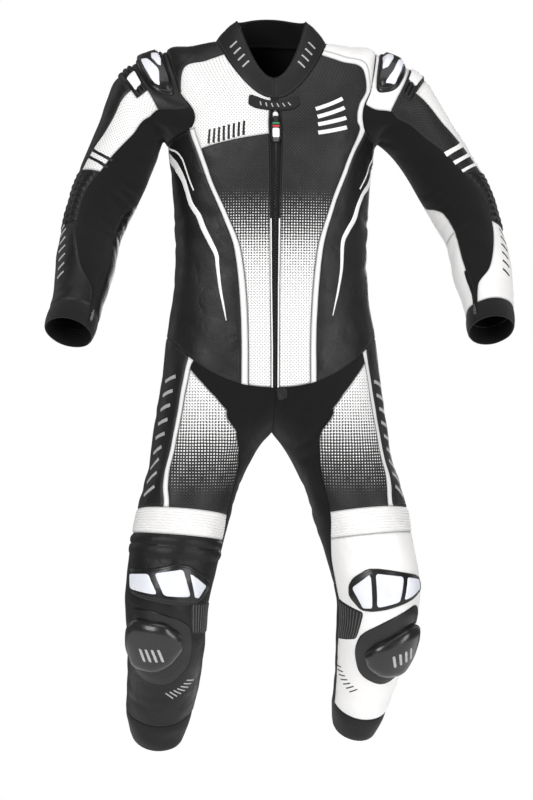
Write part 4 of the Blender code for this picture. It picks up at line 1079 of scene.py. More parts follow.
def moulded(name, color, rough, metallic=0.0, coat=0.0, grain=900.0):
    """Moulded plastic, rubber or metal with a fine grain, small scratches and an uneven sheen."""
    paint = Paint(name)
    tint = paint.noise(21.0, 4.0)
    body = paint.mix(tint, scaled(color, 0.8), scaled(color, 1.12, 1))
    paint.feed(paint.shader.inputs["Base Color"], body)
    uneven = paint.span(paint.noise(60.0, 5.0), 0.3, 0.7, rough * 0.8, rough * 1.3)
    paint.feed(paint.shader.inputs["Roughness"], uneven)
    paint.shader.inputs["Metallic"].default_value = metallic
    paint.shader.inputs["Specular IOR Level"].default_value = 0.35
    paint.shader.inputs["Coat Weight"].default_value = coat
    paint.shader.inputs["Coat Roughness"].default_value = 0.12
    low = paint.bump(paint.noise(grain, 2.0), 0.12, 0.0003)
    place = paint.node("ShaderNodeTexCoord").outputs["Object"]
    place = paint.node("ShaderNodeMapping", {"Vector": place, "Scale": (40.0, 40.0, 900.0)}).outputs[0]
    lines = paint.node("ShaderNodeTexNoise", {"Vector": place, "Scale": 1.0, "Detail": 2.0}).outputs["Fac"]
    paint.feed(paint.shader.inputs["Normal"], paint.bump(lines, 0.036, 0.0005, low))
    return paint.material


TORSO_FADE = ((-0.280, 0.0), (-0.298, 0.06), (-0.330, 0.24), (-0.372, 0.50), (-0.412, 0.76), (-0.455, 0.90),
              (-0.52, 0.97))
THIGH_FADE = ((-0.600, 0.96), (-0.660, 0.88), (-0.715, 0.70), (-0.765, 0.46), (-0.820, 0.18), (-0.868, 0.0))
MATERIALS = {
    "black": leather("black_leather", BLACK),
    "black_matte": leather("black_soft_leather", grey(0.008), 0.55),
    "white": leather("white_leather", WHITE, 0.46),
    "black_holes": leather("black_punched_leather", grey(0.010), 0.46, holes=True),
    "white_holes": leather("white_punched_leather", WHITE, 0.50, holes=True),
    "torso_dots": leather("torso_halftone_leather", BLACK, 0.48, dots=TORSO_FADE, pitch=TORSO_DOTS),
    "thigh_dots": leather("thigh_halftone_leather", BLACK, 0.48, dots=THIGH_FADE, pitch=THIGH_DOTS),
    "stretch": woven("stretch_fabric", grey(0.0042), 0.0016, 0.88),
    "knit": woven("ribbed_knit", grey(0.0055), 0.0028, 0.80, 1.6, 0.12),
    "lining": woven("mesh_lining", grey(0.004), 0.0030, 0.92, 1.2, 0.05),
    "tape": woven("zip_tape_weave", grey(0.006), 0.0012, 0.75, 0.8, 0.08),
    "armour": moulded("armour_plastic", grey(0.006), 0.34, coat=0.10),
    "slider": moulded("slider_plastic", grey(0.010), 0.30, coat=0.3, grain=500.0),
    "insert": moulded("pale_insert", (0.70, 0.71, 0.77, 1), 0.30, coat=0.25),
    "metal": moulded("zip_metal", grey(0.42), 0.28, 1.0),
    "dark_metal": moulded("dark_zip_metal", grey(0.12), 0.34, 1.0),
    "silver": moulded("silver_print", grey(0.40), 0.42, 0.2),
    "rubber": moulded("pull_rubber", grey(0.010), 0.5),
    "cord": moulded("gripping_cord", grey(0.085), 0.6),
    "pull_red": moulded("pull_red", (0.52, 0.035, 0.04, 1), 0.42),
    "pull_white": moulded("pull_white", (0.72, 0.72, 0.70, 1), 0.42),
    "pull_green": moulded("pull_green", (0.03, 0.22, 0.09, 1), 0.42),
    "thread_black": woven("black_thread", grey(0.03), 0.0006, 0.6, 1.0, 0.2),
    "thread_white": woven("white_thread", grey(0.62), 0.0006, 0.6, 1.0, 0.2),
}


# Pieces

def add_piece(name, points, faces, look, body="suit", second=None, second_faces=0, sharp=50, uv=None,
              edge=None,
              corner_uv=None):
    """A mesh object that rides on a body. The last faces may take a second look."""
    mesh = bpy.data.meshes.new(name)
    mesh.from_pydata(np.asarray(points).tolist(), [], faces)
    mesh.materials.append(MATERIALS[look])
    if second:
        mesh.materials.append(MATERIALS[second])
        index = np.zeros(len(faces), dtype=np.int32)
        index[len(faces) - second_faces:] = 1
        mesh.polygons.foreach_set("material_index", index)
    layer = mesh.uv_layers.new(name="Pattern")
    loops = np.zeros(len(mesh.loops), dtype=np.int32)
    mesh.loops.foreach_get("vertex_index", loops)
    flat = (np.asarray(points)[:, [0, 2]] if uv is None else np.asarray(uv))[loops]
    if corner_uv is not None:
        flat[:len(corner_uv)] = corner_uv
    layer.data.foreach_set("uv", flat.astype(np.float32).ravel())
    attribute = mesh.attributes.new("edge", "FLOAT", "POINT")
    values = np.full(len(points), 0.05) if edge is None else edge
    attribute.data.foreach_set("value", np.asarray(values, np.float32))
    mesh.shade_smooth()
    mesh.set_sharp_from_angle(angle=math.radians(sharp))
    mesh.update()
    obj = bpy.data.objects.new(name, mesh)
    bpy.context.scene.collection.objects.link(obj)
    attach(obj, body)
    return obj


def rib_wave(place, span, count, grid=0):
    """Rounded ribs across rows from span[0] to span[1], cut into blocks by a grid of columns if asked."""
    t = (place[:, 0] - span[0]) / (span[1] - span[0])
    wave = np.where((t > 0) & (t < 1), np.abs(np.sin(math.pi * count * t)) ** 0.7, 0)
    if grid:
        wave = wave * np.abs(np.sin(math.pi * grid * place[:, 1])) ** 0.45
    return wave


TURN_COLUMNS = 24         # grid columns round a sleeve or a leg
OTHER_HALF = 1000         # keeps the columns of the left half apart from those of the right
STITCH_STEP = 0.0036
STITCH_SIZE = (0.0025, 0.0007, 0.0005)        # length, width, height


def shell(name, parts, look, ribs=None, crown=0.0004, sewn=None, rows=(0.0024,), wall=CLOTH):
    """A panel as a thin cloth shell on its solid's form, sunk along its seams.

    Ribs: rows, number, height, grid. Sewn: the look of the thread. Rows: how far inside the seam it runs.
    """
    slices = {}
    if ribs:
        span, count, height, grid = ribs
        per_row = int(math.ceil(count / (span[1] - span[0]))) * LINES_A_RIB
        slices = {k: per_row for k in range(int(span[0]), int(span[1]))}
    cloth = Cloth(parts, slices)
    lift = wrinkle(cloth.points) + crown * smooth_step(cloth.edge, *CROWN_FADE)
    if ribs:
        lift = lift + height * rib_wave(cloth.place, span, count, grid) * smooth_step(cloth.edge, *RIB_FADE)
    sunk = lift - GROOVE * (1 - smooth_step(cloth.edge, 0, GROOVE_WIDTH))
    base_points = cloth.points + cloth.inward * SEAM_DRAW
    outer = base_points + cloth.normals * sunk[:, None]
    inner = outer - cloth.normals * wall
    count = len(outer)
    faces = list(cloth.faces)
    faces += [(b, a, a + count, b + count) for a, b in cloth.rim]
    inside = [tuple(i + count for i in reversed(face)) for face in cloth.faces]
    obj = add_piece(name + "_cloth", np.concatenate([outer, inner]), faces + inside, look,
                    second="lining", second_faces=len(inside), sharp=SHELL_SHARP,
                    uv=np.concatenate([cloth.uv, cloth.uv]), edge=np.concatenate([cloth.edge, cloth.edge]),
                    corner_uv=cloth.corner_uv)
    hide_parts(name)
    area, width, length = cut_of(cloth, outer)
    if sewn:
        sew(name, cloth, lift, sewn, rows)


def cut_of(cloth, outer):
    """A panel's flat area, its width along the widest row of cells and its length down the longest column."""
    faces = np.array(cloth.faces)
    p = [outer[faces[:, k]] for k in range(4)]
    triangles = (np.cross(p[1] - p[0], p[2] - p[0]), np.cross(p[2] - p[0], p[3] - p[0]))
    area = float(sum(np.linalg.norm(t, axis=1).sum() for t in triangles)) / 2
    across = np.linalg.norm([p[1] - p[0], p[2] - p[3]], axis=2).mean(0)
    fall = np.linalg.norm([p[2] - p[1], p[3] - p[0]], axis=2).mean(0)
    row, column = np.moveaxis(cloth.place[faces], 2, 0)
    wraps = np.ptp(column, axis=1) > 2
    column[wraps] = np.where(column[wraps] == 0, TURN_COLUMNS, column[wraps])
    half = np.where(outer[faces][..., 0].mean(1) > 0, OTHER_HALF, 0)
    width = longest_line(across * np.ptp(row, axis=1), np.floor(row.mean(1)))
    length = longest_line(fall * np.ptp(column, axis=1), np.floor(column.mean(1)) + half)
    return area, max(width, area / length), length


def longest_line(lengths, lines):
    """The longest line of cells, from each face's length times the share of its cell that it covers."""
    _, index = np.unique(lines, return_inverse=True)
    return float(np.bincount(index, lengths).max())


def rim_loops(rim):
    """The rim's points in order, one list for each loop."""
    following = dict(rim)
    loops = []
    while following:
        start, here = next(iter(following.items()))
        loop = [start]
        del following[start]
        while here != start and here in following:
            loop.append(here)
            here = following.pop(here)
        loops.append(loop)
    return loops


def sew(name, cloth, lift, look, rows):
    """Topstitches inside a panel's seams, as short raised threads."""
    points, faces = [], []
    for loop in rim_loops(cloth.rim):
        for inset in rows:
            depth = GROOVE * (1 - smooth_step(np.array([inset]), 0, GROOVE_WIDTH))[0]
            path = [cloth.points[i] + cloth.inward[i] * inset + cloth.normals[i] * (lift[i] - depth)
                    for i in loop]
            stitch_along(np.array(path + path[:1]), cloth.normals[loop + loop[:1]], points, faces)
    if faces:
        add_piece(name + "_stitches", points, faces, look)


def along_path(where, at, values):
    """Values between a path's points, at the places where on its length."""
    return np.stack([np.interp(where, at, values[:, k]) for k in range(3)], -1)


def stitch_along(path, normals, points, faces):
    """Adds short three-sided threads along a path."""
    span = np.linalg.norm(np.diff(path, axis=0), axis=1)
    at = np.concatenate([[0], np.cumsum(span)])
    count = int(at[-1] / STITCH_STEP)
    if count < 1:
        return
    long, wide, high = STITCH_SIZE
    where = (np.arange(count) + 0.5) * at[-1] / count
    middle = along_path(where, at, path)
    ahead = along_path(np.minimum(where + long / 2, at[-1]), at, path)
    up = unit(along_path(where, at, normals))
    way = unit(ahead - middle + 1e-9)
    over = np.cross(up, way)
    for m, w, o, n in zip(middle, way, over, up):
        start = len(points)
        for end in (-1, 1):
            points.append(m + w * end * long / 2 + o * wide / 2 - n * high * 0.3)
            points.append(m + w * end * long / 2 - o * wide / 2 - n * high * 0.3)
            points.append(m + w * end * long * 0.36 + n * high * 0.7)
        a, b, c, d, e, f = range(start, start + 6)
        faces += [(a, c, b), (d, e, f), (a, d, f, c), (c, f, e, b), (b, e, d, a)]


ROUGH_POINTS = {"ribbon": 60, "chain": 80}
RIBBON_FOOT, RIBBON_ROUNDING, RIBBON_CROWN = -0.0006, 0.0008, 0.0001


def path_length(kind, side, path, count):
    """Length in space of a path of surface coordinates."""
    rough = base(kind, side, *through(path, count).T)
    return float(np.linalg.norm(np.diff(rough, axis=0), axis=1).sum())


def tube_faces(count, ring):
    """Faces of a closed tube of count rings, with a face at each end."""
    faces = []
    for i in range(count - 1):
        for j in range(ring):
            k = (j + 1) % ring
            faces.append((i * ring + j, i * ring + k, (i + 1) * ring + k, (i + 1) * ring + j))
    faces.append(tuple(range(ring))[::-1])
    faces.append(tuple((count - 1) * ring + j for j in range(ring)))
    return faces


def ribbon(name, kind, side, path, half_widths, height, look, step=0.004):
    """A raised strip that follows the surface along a path of surface coordinates. Half widths are in mm."""
    path = np.asarray(path, float)
    length = path_length(kind, side, path, ROUGH_POINTS["ribbon"])
    count = max(4, int(length / step))
    curve = through(path, count)
    at = np.linspace(0, len(path) - 1, count)
    widths = np.broadcast_to(np.asarray(half_widths, float), len(path))
    half = np.interp(at, np.arange(len(path)), widths) / 1000
    a, d = curve.T
    middle = base(kind, side, a, d)
    along = unit(np.gradient(middle, axis=0))
    over = unit(np.cross(facing(kind, side, a, d), along))
    rows = []
    shoulder, crown = height - RIBBON_ROUNDING, height + RIBBON_CROWN
    profile = ((-1.0, RIBBON_FOOT), (-1.0, shoulder), (-0.8, height), (-0.3, crown),
               (0.3, crown), (0.8, height), (1.0, shoulder), (1.0, RIBBON_FOOT))
    for share, rise in profile:
        aa, dd = moved(kind, side, a, d, over * (half * share)[:, None])
        rows.append(on_surface(kind, side, aa, dd, rise)[0])
    ring = len(profile)
    points = np.stack(rows, 1).reshape(-1, 3)
    uv = np.stack([np.repeat(np.linspace(0, length, count), ring),
                   np.tile(np.linspace(0, 0.02, ring), count)], -1)
    fix_facing(add_piece(name, points, tube_faces(count, ring), look, uv=uv))


def fix_facing(obj):
    """Turns a closed mesh's faces outwards."""
    bm = bmesh.new()
    bm.from_mesh(obj.data)
    bmesh.ops.recalc_face_normals(bm, faces=bm.faces[:])
    bm.to_mesh(obj.data)
    bm.free()


CORNER_ROUNDS, CORNER_SHARE = 2, 0.22
BOSS_SUNK = 0.0008        # how far a boss's underside goes into the panel
BOSS_RINGS = (0.15, 0.32, 0.50, 0.68, 0.84, 0.95)      # shares of the way from the bevel to the centre


def corner_cut(outline, share):
    """A polygon with its corners rounded."""
    outline = np.asarray(outline, float)
    for _ in range(CORNER_ROUNDS):
        following = np.roll(outline, -1, axis=0)
        first = outline + (following - outline) * share
        second = outline + (following - outline) * (1 - share)
        outline = np.stack([first, second], 1).reshape(-1, 2)
    return outline


class Boss:
    """A domed piece on a surface: its outline by angle round its centre, and its height at any place."""

    def __init__(self, kind, side, outline, bevel, crown, under=None, share=CORNER_SHARE):
        self.kind, self.side, self.bevel, self.crown, self.under = kind, side, bevel, crown, under
        outline = np.asarray(outline, float)
        self.centre = outline.mean(0)
        spot = self.centre[:1], self.centre[1:]
        along_a, along_d = tangents(kind, side, *spot)
        self.scale = np.array([np.linalg.norm(along_a), np.linalg.norm(along_d)])
        flat = corner_cut((outline - self.centre) * self.scale, share)
        angle = np.arctan2(flat[:, 1], flat[:, 0])
        order = np.argsort(angle)
        self.angle, self.flat = angle[order], flat[order]

    def reach(self, angle):
        """Distance from the centre to the outline."""
        k = np.searchsorted(self.angle, angle, side="right") - 1
        p, q = self.flat[k], np.roll(self.flat, -1, axis=0)[k]
        way = np.stack([np.cos(angle), np.sin(angle)], -1)
        edge = q - p
        cross = p[:, 0] * edge[:, 1] - p[:, 1] * edge[:, 0]
        return cross / (way[:, 0] * edge[:, 1] - way[:, 1] * edge[:, 0])

    def height(self, flat):
        """Height over the surface below the piece at places in its flat frame."""
        angle = np.arctan2(flat[:, 1], flat[:, 0])
        far = np.linalg.norm(flat, axis=1)
        reach = self.reach(angle)
        insets, heights = zip(*self.bevel)
        rise = np.interp(reach - far, insets, heights)
        share = np.clip(far / np.maximum(reach, 1e-6), 0, 1)
        return rise + self.crown * (1 - share ** 2) * smooth_step(reach - far, 0, insets[-1])

    def to_surface(self, flat):
        return (flat / self.scale + self.centre).T

    def from_surface(self, a, d):
        return (np.stack([a, d], -1) - self.centre) * self.scale

    def full_height(self, a, d):
        """Height over the bare surface, with the piece below."""
        rise = self.height(self.from_surface(a, d))
        return rise + (self.under(a, d) if self.under else 0)

    def build(self, name, look, replaces=(), spokes=96):
        """The piece as a closed mesh of rings: the top from rim to centre, then the underside."""
        angles = np.linspace(-math.pi, math.pi, spokes, endpoint=False)
        reach = self.reach(angles)
        insets = [b[0] for b in self.bevel]
        rings = [np.minimum(i, reach * 0.45) for i in insets]
        rings += [rings[-1] + (reach - rings[-1]) * f for f in BOSS_RINGS]
        way = np.stack([np.cos(angles), np.sin(angles)], -1)
        top = []
        for inset in rings:
            a, d = self.to_surface(way * (reach - inset)[:, None])
            top.append(on_surface(self.kind, self.side, a, d, self.full_height(a, d))[0])
        low = []
        for inset in (rings[-1] * 0, rings[-3], rings[-1]):
            a, d = self.to_surface(way * (reach - inset)[:, None])
            base_height = (self.under(a, d) if self.under else 0) - BOSS_SUNK
            low.append(on_surface(self.kind, self.side, a, d, base_height)[0])
        points = np.concatenate(top + low[::-1])
        total = len(top) + len(low)
        order = list(range(len(top) - 1, -1, -1)) + list(range(total - 1, len(top) - 1, -1))
        faces = []
        for first, second in zip(order, order[1:]):
            for i in range(spokes):
                k = (i + 1) % spokes
                faces.append((first * spokes + i, first * spokes + k,
                              second * spokes + k, second * spokes + i))
        faces.append(tuple(order[0] * spokes + i for i in range(spokes))[::-1])
        faces.append(tuple(order[-1] * spokes + i for i in range(spokes)))
        obj = add_piece(name, points, faces, look, sharp=40)
        fix_facing(obj)
        if replaces:
            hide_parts(*replaces)


def bars(name, kind, side, path, count, lean, half, reach, look, height=0.0008):
    """A row of parallel bars across a path. Lean in degrees, half width and half length in mm."""
    curve = through(path, 200)
    spots = base(kind, side, *curve.T)
    at = np.concatenate([[0], np.cumsum(np.linalg.norm(np.diff(spots, axis=0), axis=1))])
    where = (np.arange(count) + 0.5) * at[-1] / count
    turn, place = (np.interp(where, at, curve[:, k]) for k in range(2))
    along = unit(np.gradient(base(kind, side, turn, place), axis=0))
    over = unit(np.cross(facing(kind, side, turn, place), along))
    way = over * math.cos(math.radians(lean)) + along * math.sin(math.radians(lean))
    ends = [np.stack(moved(kind, side, turn, place, way * share * reach * 0.001), -1) for share in (-1, 0, 1)]
    for k, line in enumerate(np.stack(ends, 1)):
        ribbon("%s_%d" % (name, k), kind, side, line, half, height, look, step=0.003)


def chain(name, kind, side, path, pitch, size, height):
    """Zip teeth in two staggered rows along a path of surface coordinates. Size: width, length, height."""
    count = int(path_length(kind, side, path, ROUGH_POINTS["chain"]) / pitch)
    curve = through(path, count)
    middle, normals = on_surface(kind, side, *curve.T, height)
    along = unit(np.gradient(middle, axis=0))
    over = unit(np.cross(normals, along))
    wide, long, high = size
    points, faces = [], []
    for i in range(count):
        offset = (wide * 0.30) * (1 if i % 2 else -1)
        start = len(points)
        for up in (-0.5, 0.5):
            for x, y in ((-0.5, -0.5), (0.5, -0.5), (0.5, 0.5), (-0.5, 0.5)):
                taper = 0.8 if up > 0 else 1.0
                points.append(middle[i] + over[i] * (offset + x * wide * taper) + along[i] * y * long * taper
                              + normals[i] * up * high)
        a = list(range(start, start + 8))
        faces += [(a[3], a[2], a[1], a[0]), (a[4], a[5], a[6], a[7])]
        faces += [(a[k], a[(k + 1) % 4], a[(k + 1) % 4 + 4], a[k + 4]) for k in range(4)]
    fix_facing(add_piece(name, points, faces, "dark_metal", sharp=30))


TUBE_SIDES = 10


def tube(name, path, radius, look):
    """A round cord along points in space."""
    along = unit(np.gradient(path, axis=0))
    side_way = unit(np.cross(along, (0.0, 0.0, 1.0)))
    up = np.cross(side_way, along)
    turn = np.linspace(0, 2 * math.pi, TUBE_SIDES, endpoint=False)
    points = (path[:, None] + radius * (np.cos(turn)[None, :, None] * side_way[:, None]
                                        + np.sin(turn)[None, :, None] * up[:, None])).reshape(-1, 3)
    count = len(path)
    uv = np.stack([np.repeat(np.arange(count) * 0.004, TUBE_SIDES), np.tile(turn * radius, count)], -1)
    fix_facing(add_piece(name, points, tube_faces(count, TUBE_SIDES), look, uv=uv))


PULL_FIELDS = (
    # name, look, start and end below the hinge, half width, share of it at the end
    ("pull_field_top", "pull_green", 0.0130, 0.0165, 0.0066, 1),
    ("pull_field_middle", "pull_red", 0.0185, 0.0220, 0.0066, 1),
    ("pull_field_low", "pull_white", 0.0240, 0.0425, 0.0066, 1),
    ("pull_end", "metal", 0.0435, 0.0500, 0.0060, 0.75),
)
PULL_FIELD_RINGS = ((1.0, -0.0003), (1.0, 0.0004), (0.94, 0.0007))     # share of the outline, height


def pull_fields():
    """Two short bars and a long field laid on the front pull, and a metal end."""
    joint = next(j for j in frame["record"]["behaviour"]["joints"] if j["child"] == "zip_pull_body")
    hinge = np.array(joint["pos_m"], float)
    node = frame["nodes"]["zip_pull"]
    verts = np.array([tuple(node.matrix_world @ v.co) for v in node.data.vertices])
    far = verts[np.argmax(np.linalg.norm(verts - hinge, axis=1))]
    axis = unit(np.array(joint["axis"], float))
    down = far - hinge
    down = unit(down - axis * float(down @ axis))
    out = unit(np.cross(axis, down))
    if out[1] > 0:
        out = -out
    flat = (verts - hinge) @ out
    top = float(flat.max())
    for name, look, start, end, half, narrow in PULL_FIELDS:
        corners = ((start, -half), (start, half), (end, half * narrow), (end, -half * narrow))
        outline = corner_cut(corners, 0.12)
        middle = outline.mean(0)
        points = []
        for shrink, rise in PULL_FIELD_RINGS:
            for x, y in middle + (outline - middle) * shrink:
                points.append(hinge + down * x + axis * y + out * (top + rise))
        n = len(outline)
        faces = [tuple(range(n))[::-1], tuple(range(2 * n, 3 * n))]
        faces += [(r * n + i, r * n + (i + 1) % n, (r + 1) * n + (i + 1) % n, (r + 1) * n + i)
                  for r in range(2) for i in range(n)]
        fix_facing(add_piece(name, points, faces, look, "zip_pull_body", sharp=35))


# Cells of the panels, as in the frame's solids

def block(rows, columns):
    return [(r, c) for r in range(*rows) for c in range(*columns)]


def cells_of(kind, side, *blocks):
    cells = []
    for rows, columns in blocks:
        cells += block(rows, columns)
    return (kind, side, cells)


def both(kind, *blocks):
    return [cells_of(kind, side, *blocks) for side in SIDE_SIGN]


# The body
DOUBLE = (0.0024, 0.0052)         # two rows of stitches
for tag, side in SIDES.items():
    low_end, border_end = (CHEST_ROW, HOLE_LOW) if tag == "R" else (NECK_ROW, NECK_ROW)
    shell("front_panel_" + tag, [cells_of("torso", side, ((0, low_end), (1, 4)))], "torso_dots",
          sewn="thread_black")
    shell("front_border_" + tag, [cells_of("torso", side, ((0, border_end), (4, 5)))], "white",
          sewn="thread_white", rows=(0.0022,))
    shell("side_panel_" + tag, [cells_of("torso", side, ((0, HOLE_LOW), (5, 13)))], "black",
          sewn="thread_black", rows=DOUBLE)
    dark = "black" if tag == "R" else "white"
    shell("yoke_" + tag, [cells_of("torso", side, ((HOLE_HIGH, NECK_ROW), (5, 13)))], dark,
          sewn="thread_" + dark, rows=DOUBLE)
shell("chest_panel_R", [cells_of("torso", "right", ((CHEST_ROW, NECK_ROW), (1, 4)),
                                 ((HOLE_LOW, NECK_ROW), (4, 5)))], "white_holes", sewn="thread_white")
shell("back_panel", both("torso", ((0, NECK_ROW), (13, 18))), "black_holes", sewn="thread_black", rows=DOUBLE)
shell("zip_tape", both("torso", ((0, NECK_ROW), (0, 1))), "tape", crown=0.0)
shell("collar", both("collar", ((0, 2), (0, HALF))), "black_matte", crown=0.0016, sewn="thread_black",
      rows=(0.0030,), wall=0.0030)

# The sleeves
for tag, side in SIDES.items():
    light = "white" if tag == "L" else "black"
    shell("arm_stretch_" + tag, [cells_of("sleeve", side, ((0, CUFF_ROW), (0, 7)))], "stretch", crown=0.0008)
    shell("shoulder_accordion_" + tag, [cells_of("sleeve", side, ((ACCORDION_TOP, ACCORDION_END), (9, 17)))],
          "black", ((ACCORDION_TOP, ACCORDION_END), *SHOULDER_RIBS))
    front = "black" if tag == "L" else "white"
    shell("arm_front_" + tag, [cells_of(
        "sleeve", side, ((ACCORDION_TOP, ACCORDION_END), (7, 9)), ((ACCORDION_END, STRIPE_ROW), (7, 10)))],
        front + "_holes", sewn="thread_" + front)
    shell("arm_outer_" + tag, [cells_of(
        "sleeve", side, ((0, ACCORDION_TOP), (7, 24)), ((ACCORDION_TOP, ACCORDION_END), (17, 24)),
        ((ACCORDION_END, STRIPE_ROW), (10, 24)), ((STRIPE_ROW, ELBOW_END), (13, 24)))],
        light, sewn="thread_" + light, rows=DOUBLE)
    shell("elbow_accordion_" + tag, [cells_of("sleeve", side, ((STRIPE_ROW, ELBOW_END), (7, 13)))],
          "black", ((STRIPE_ROW, ELBOW_END), *ELBOW_RIBS))
    shell("forearm_" + tag, [cells_of("sleeve", side, ((ELBOW_END, CUFF_ROW), (7, 24)))], light,
          sewn="thread_" + light, rows=DOUBLE)
    shell("cuff_" + tag, [cells_of("sleeve", side, ((CUFF_ROW, CUFF_ROW + 1), (0, 24)))], "knit",
          crown=0.0012)

# The legs
for tag, side in SIDES.items():
    light = "white" if tag == "L" else "black"
    shell("leg_stretch_" + tag, [cells_of(
        "leg", side, ((0, 1), (0, 7)), ((1, STRETCH_END), (0, 4)), ((0, STRETCH_END), (18, 24)),
        ((RIB_ROW, STRETCH_END), (12, 18)))], "stretch", crown=0.0008)
    shell("thigh_front_" + tag, [cells_of("leg", side, ((1, RIB_ROW), (4, 7)))], "thigh_dots",
          sewn="thread_black")
    shell("thigh_strip_" + tag, [cells_of("leg", side, ((0, RIB_ROW), (7, 8)))], "white", sewn="thread_white",
          rows=(0.0022,))
    shell("thigh_outer_" + tag, [cells_of("leg", side, ((0, RIB_ROW), (8, 12)))], "black",
          sewn="thread_black", rows=DOUBLE)
    shell("leg_back_" + tag, [cells_of("leg", side, ((0, RIB_ROW), (12, 18)))], "black", sewn="thread_black",
          rows=DOUBLE)
    shell("knee_ribs_" + tag, [cells_of("leg", side, ((RIB_ROW, BAND_ROW), (4, 12)))], "white",
          ((RIB_ROW, BAND_ROW), *KNEE_RIBS))
    quilting = ((BAND_ROW, PANEL_ROW), *QUILT_RIBS) if tag == "R" else None
    shell("knee_panel_" + tag, [cells_of("leg", side, ((BAND_ROW, HEM_ROW), (4, 12)))], light, quilting,
          sewn="thread_" + light, rows=DOUBLE)
    shell("calf_" + tag, [cells_of("leg", side, ((STRETCH_END, HEM_ROW), (0, 4)),
                                   ((STRETCH_END, HEM_ROW), (12, 24)))], "black_matte", sewn="thread_black",
          rows=DOUBLE)
    shell("hem_" + tag, [cells_of("leg", side, ((HEM_ROW, LEG_END), (0, 24)))], "knit", crown=0.0010)

# Accent stripes on the flanks, of white leather sewn on, then black ones on the white sleeve bands
ribbon("stripe_wide_R", "torso", "right", ((-91, 4.36), (-81, 4.21), (-69, 3.96), (-61.5, 3.68),
                                           (-57.5, 3.40),
       (-54, 3.12), (-47.5, 2.90), (-43.5, 2.68), (-38, 2.45), (-33.5, 2.25), (-32.6, 2.05), (-30.5, 1.65),
       (-28, 1.35), (-26, 1.10)), (11, 10.5, 9.5, 7, 5.6, 5.8, 6, 6, 5.6, 4.6, 3.8, 3.0, 2.2, 0.8), 0.0008,
       "white")
ribbon("stripe_narrow_R", "torso", "right", ((-91, 4.66), (-81, 4.57), (-68, 4.45), (-60.5, 4.23),
                                             (-57, 3.95),
       (-54, 3.67), (-50.5, 3.43)), (2.2, 2.4, 2.4, 2.4, 2.2, 2.0, 1.6), 0.0007, "white")
ribbon("stripe_wide_L", "torso", "left", ((92, 4.42), (86, 4.12), (81, 3.84), (74, 3.56), (64, 3.36),
                                          (57.5, 3.12),
       (54, 2.84), (47, 2.62), (42.5, 2.40), (41, 1.90), (37.5, 1.50), (33, 1.12)),
       (11, 11, 10, 8, 5.4, 5.4, 6, 5.6, 4.8, 3.4, 2.4, 0.8), 0.0008, "white")
ribbon("stripe_narrow_L", "torso", "left", ((92, 4.72), (85, 4.58), (76, 4.24), (66, 3.80), (58, 3.47)),
       (2.4, 2.4, 2.6, 2.6, 2.0), 0.0007, "white")
for k, path in enumerate((((68, 2.47), (50, 2.54), (30, 2.60), (9, 2.65)),
                          ((71, 2.61), (52, 2.69), (32, 2.75),
                                                                         (12.5, 2.82)))):
    ribbon("arm_band_R_%d" % k, "sleeve", "right", path, 3.3, 0.0007, "black")
for k, place in enumerate((2.36, 2.58, 2.79)):
    ribbon("arm_band_L_%d" % k, "sleeve", "left", ((63 + 3 * k, place - 0.01), (40, place + 0.04),
           (9 + 5 * k, place + 0.08)), 5.2 - k, 0.0007, "white")

# Shoulder cups with pale inserts, and a plain patch below each
CUP_BEVEL = ((0.0, 0.0002), (0.0010, 0.0030), (0.0030, 0.0052), (0.0060, 0.0062), (0.0075, 0.0056),
             (0.0090, 0.0074),
             (0.0140, 0.0112))
INSERTS = {
    "right": (((28, 0.54), (26, 0.44), (50, 0.29), (66, 0.42), (68, 0.54), (50, 0.56)),
              ((54, 0.22), (64, 0.15), (72, 0.16), (74, 0.30), (66, 0.34), (56, 0.28))),
    "left": (((34, 0.30), (50, 0.40), (70, 0.44), (72, 0.54), (50, 0.57), (30, 0.54)),
             ((52, 0.16), (74, 0.12), (78, 0.30), (70, 0.34), (56, 0.28))),
}
SLEEVE_PATCH = {
    "right": ((55.5, 0.75), (29.5, 0.77), (20, 1.00), (44, 1.01)),
    "left": ((72, 0.75), (42, 0.77), (34, 1.00), (62, 1.02)),
}
for tag, side in SIDES.items():
    cup = Boss("sleeve", side, SHOULDER_CUP[side], CUP_BEVEL, 0.0040)
    cup.build("shoulder_cup_shell_" + tag, "armour", ("shoulder_cup_" + tag,), 128)
    for k, outline in enumerate(INSERTS[side]):
        pad = Boss("sleeve", side, outline, ((0.0, -0.0004), (0.0007, 0.0008), (0.0018, 0.0012)), 0.0004,
                   cup.full_height, share=0.10)
        pad.build("shoulder_insert_%s_%d" % (tag, k), "insert")
    Boss("sleeve", side, SLEEVE_PATCH[side], ((0.0, 0.0010), (0.0006, 0.0050), (0.0016, 0.0055)), 0.0003,
         share=0.06).build("sleeve_patch_" + tag, "white")

# Knee armour
PLATE_BEVEL = ((0.0, 0.0002), (0.0008, 0.0024), (0.0026, 0.0034), (0.0058, 0.0036), (0.0066, 0.0030),
               (0.0090, 0.0036))
KNEE_INSERTS = {
    "right": (((64, 4.50), (31, 4.44), (15, 4.74), (60, 4.74)),
              ((23, 4.42), (-12, 4.32), (-29, 4.76), (7, 4.745)),
              ((-21, 4.37), (-53, 4.60), (-43, 4.80), (-36, 4.775))),
    "left": (((-40, 4.63), (-11, 4.41), (-15, 4.96), (-28, 4.97)),
             ((-5, 4.41), (31, 4.51), (22, 4.89), (-9, 4.95)),
             ((37, 4.53), (66, 4.63), (68, 4.80), (28, 4.88))),
}
BASE_BEVEL = ((0.0, 0.0002), (0.0010, 0.0022), (0.0035, 0.0032), (0.0060, 0.0026), (0.0080, 0.0030))
PUCK_BEVEL = ((0.0, -0.0010), (0.0006, 0.0048), (0.0020, 0.0090), (0.0050, 0.0130), (0.0100, 0.0158),
              (0.0160, 0.0172))
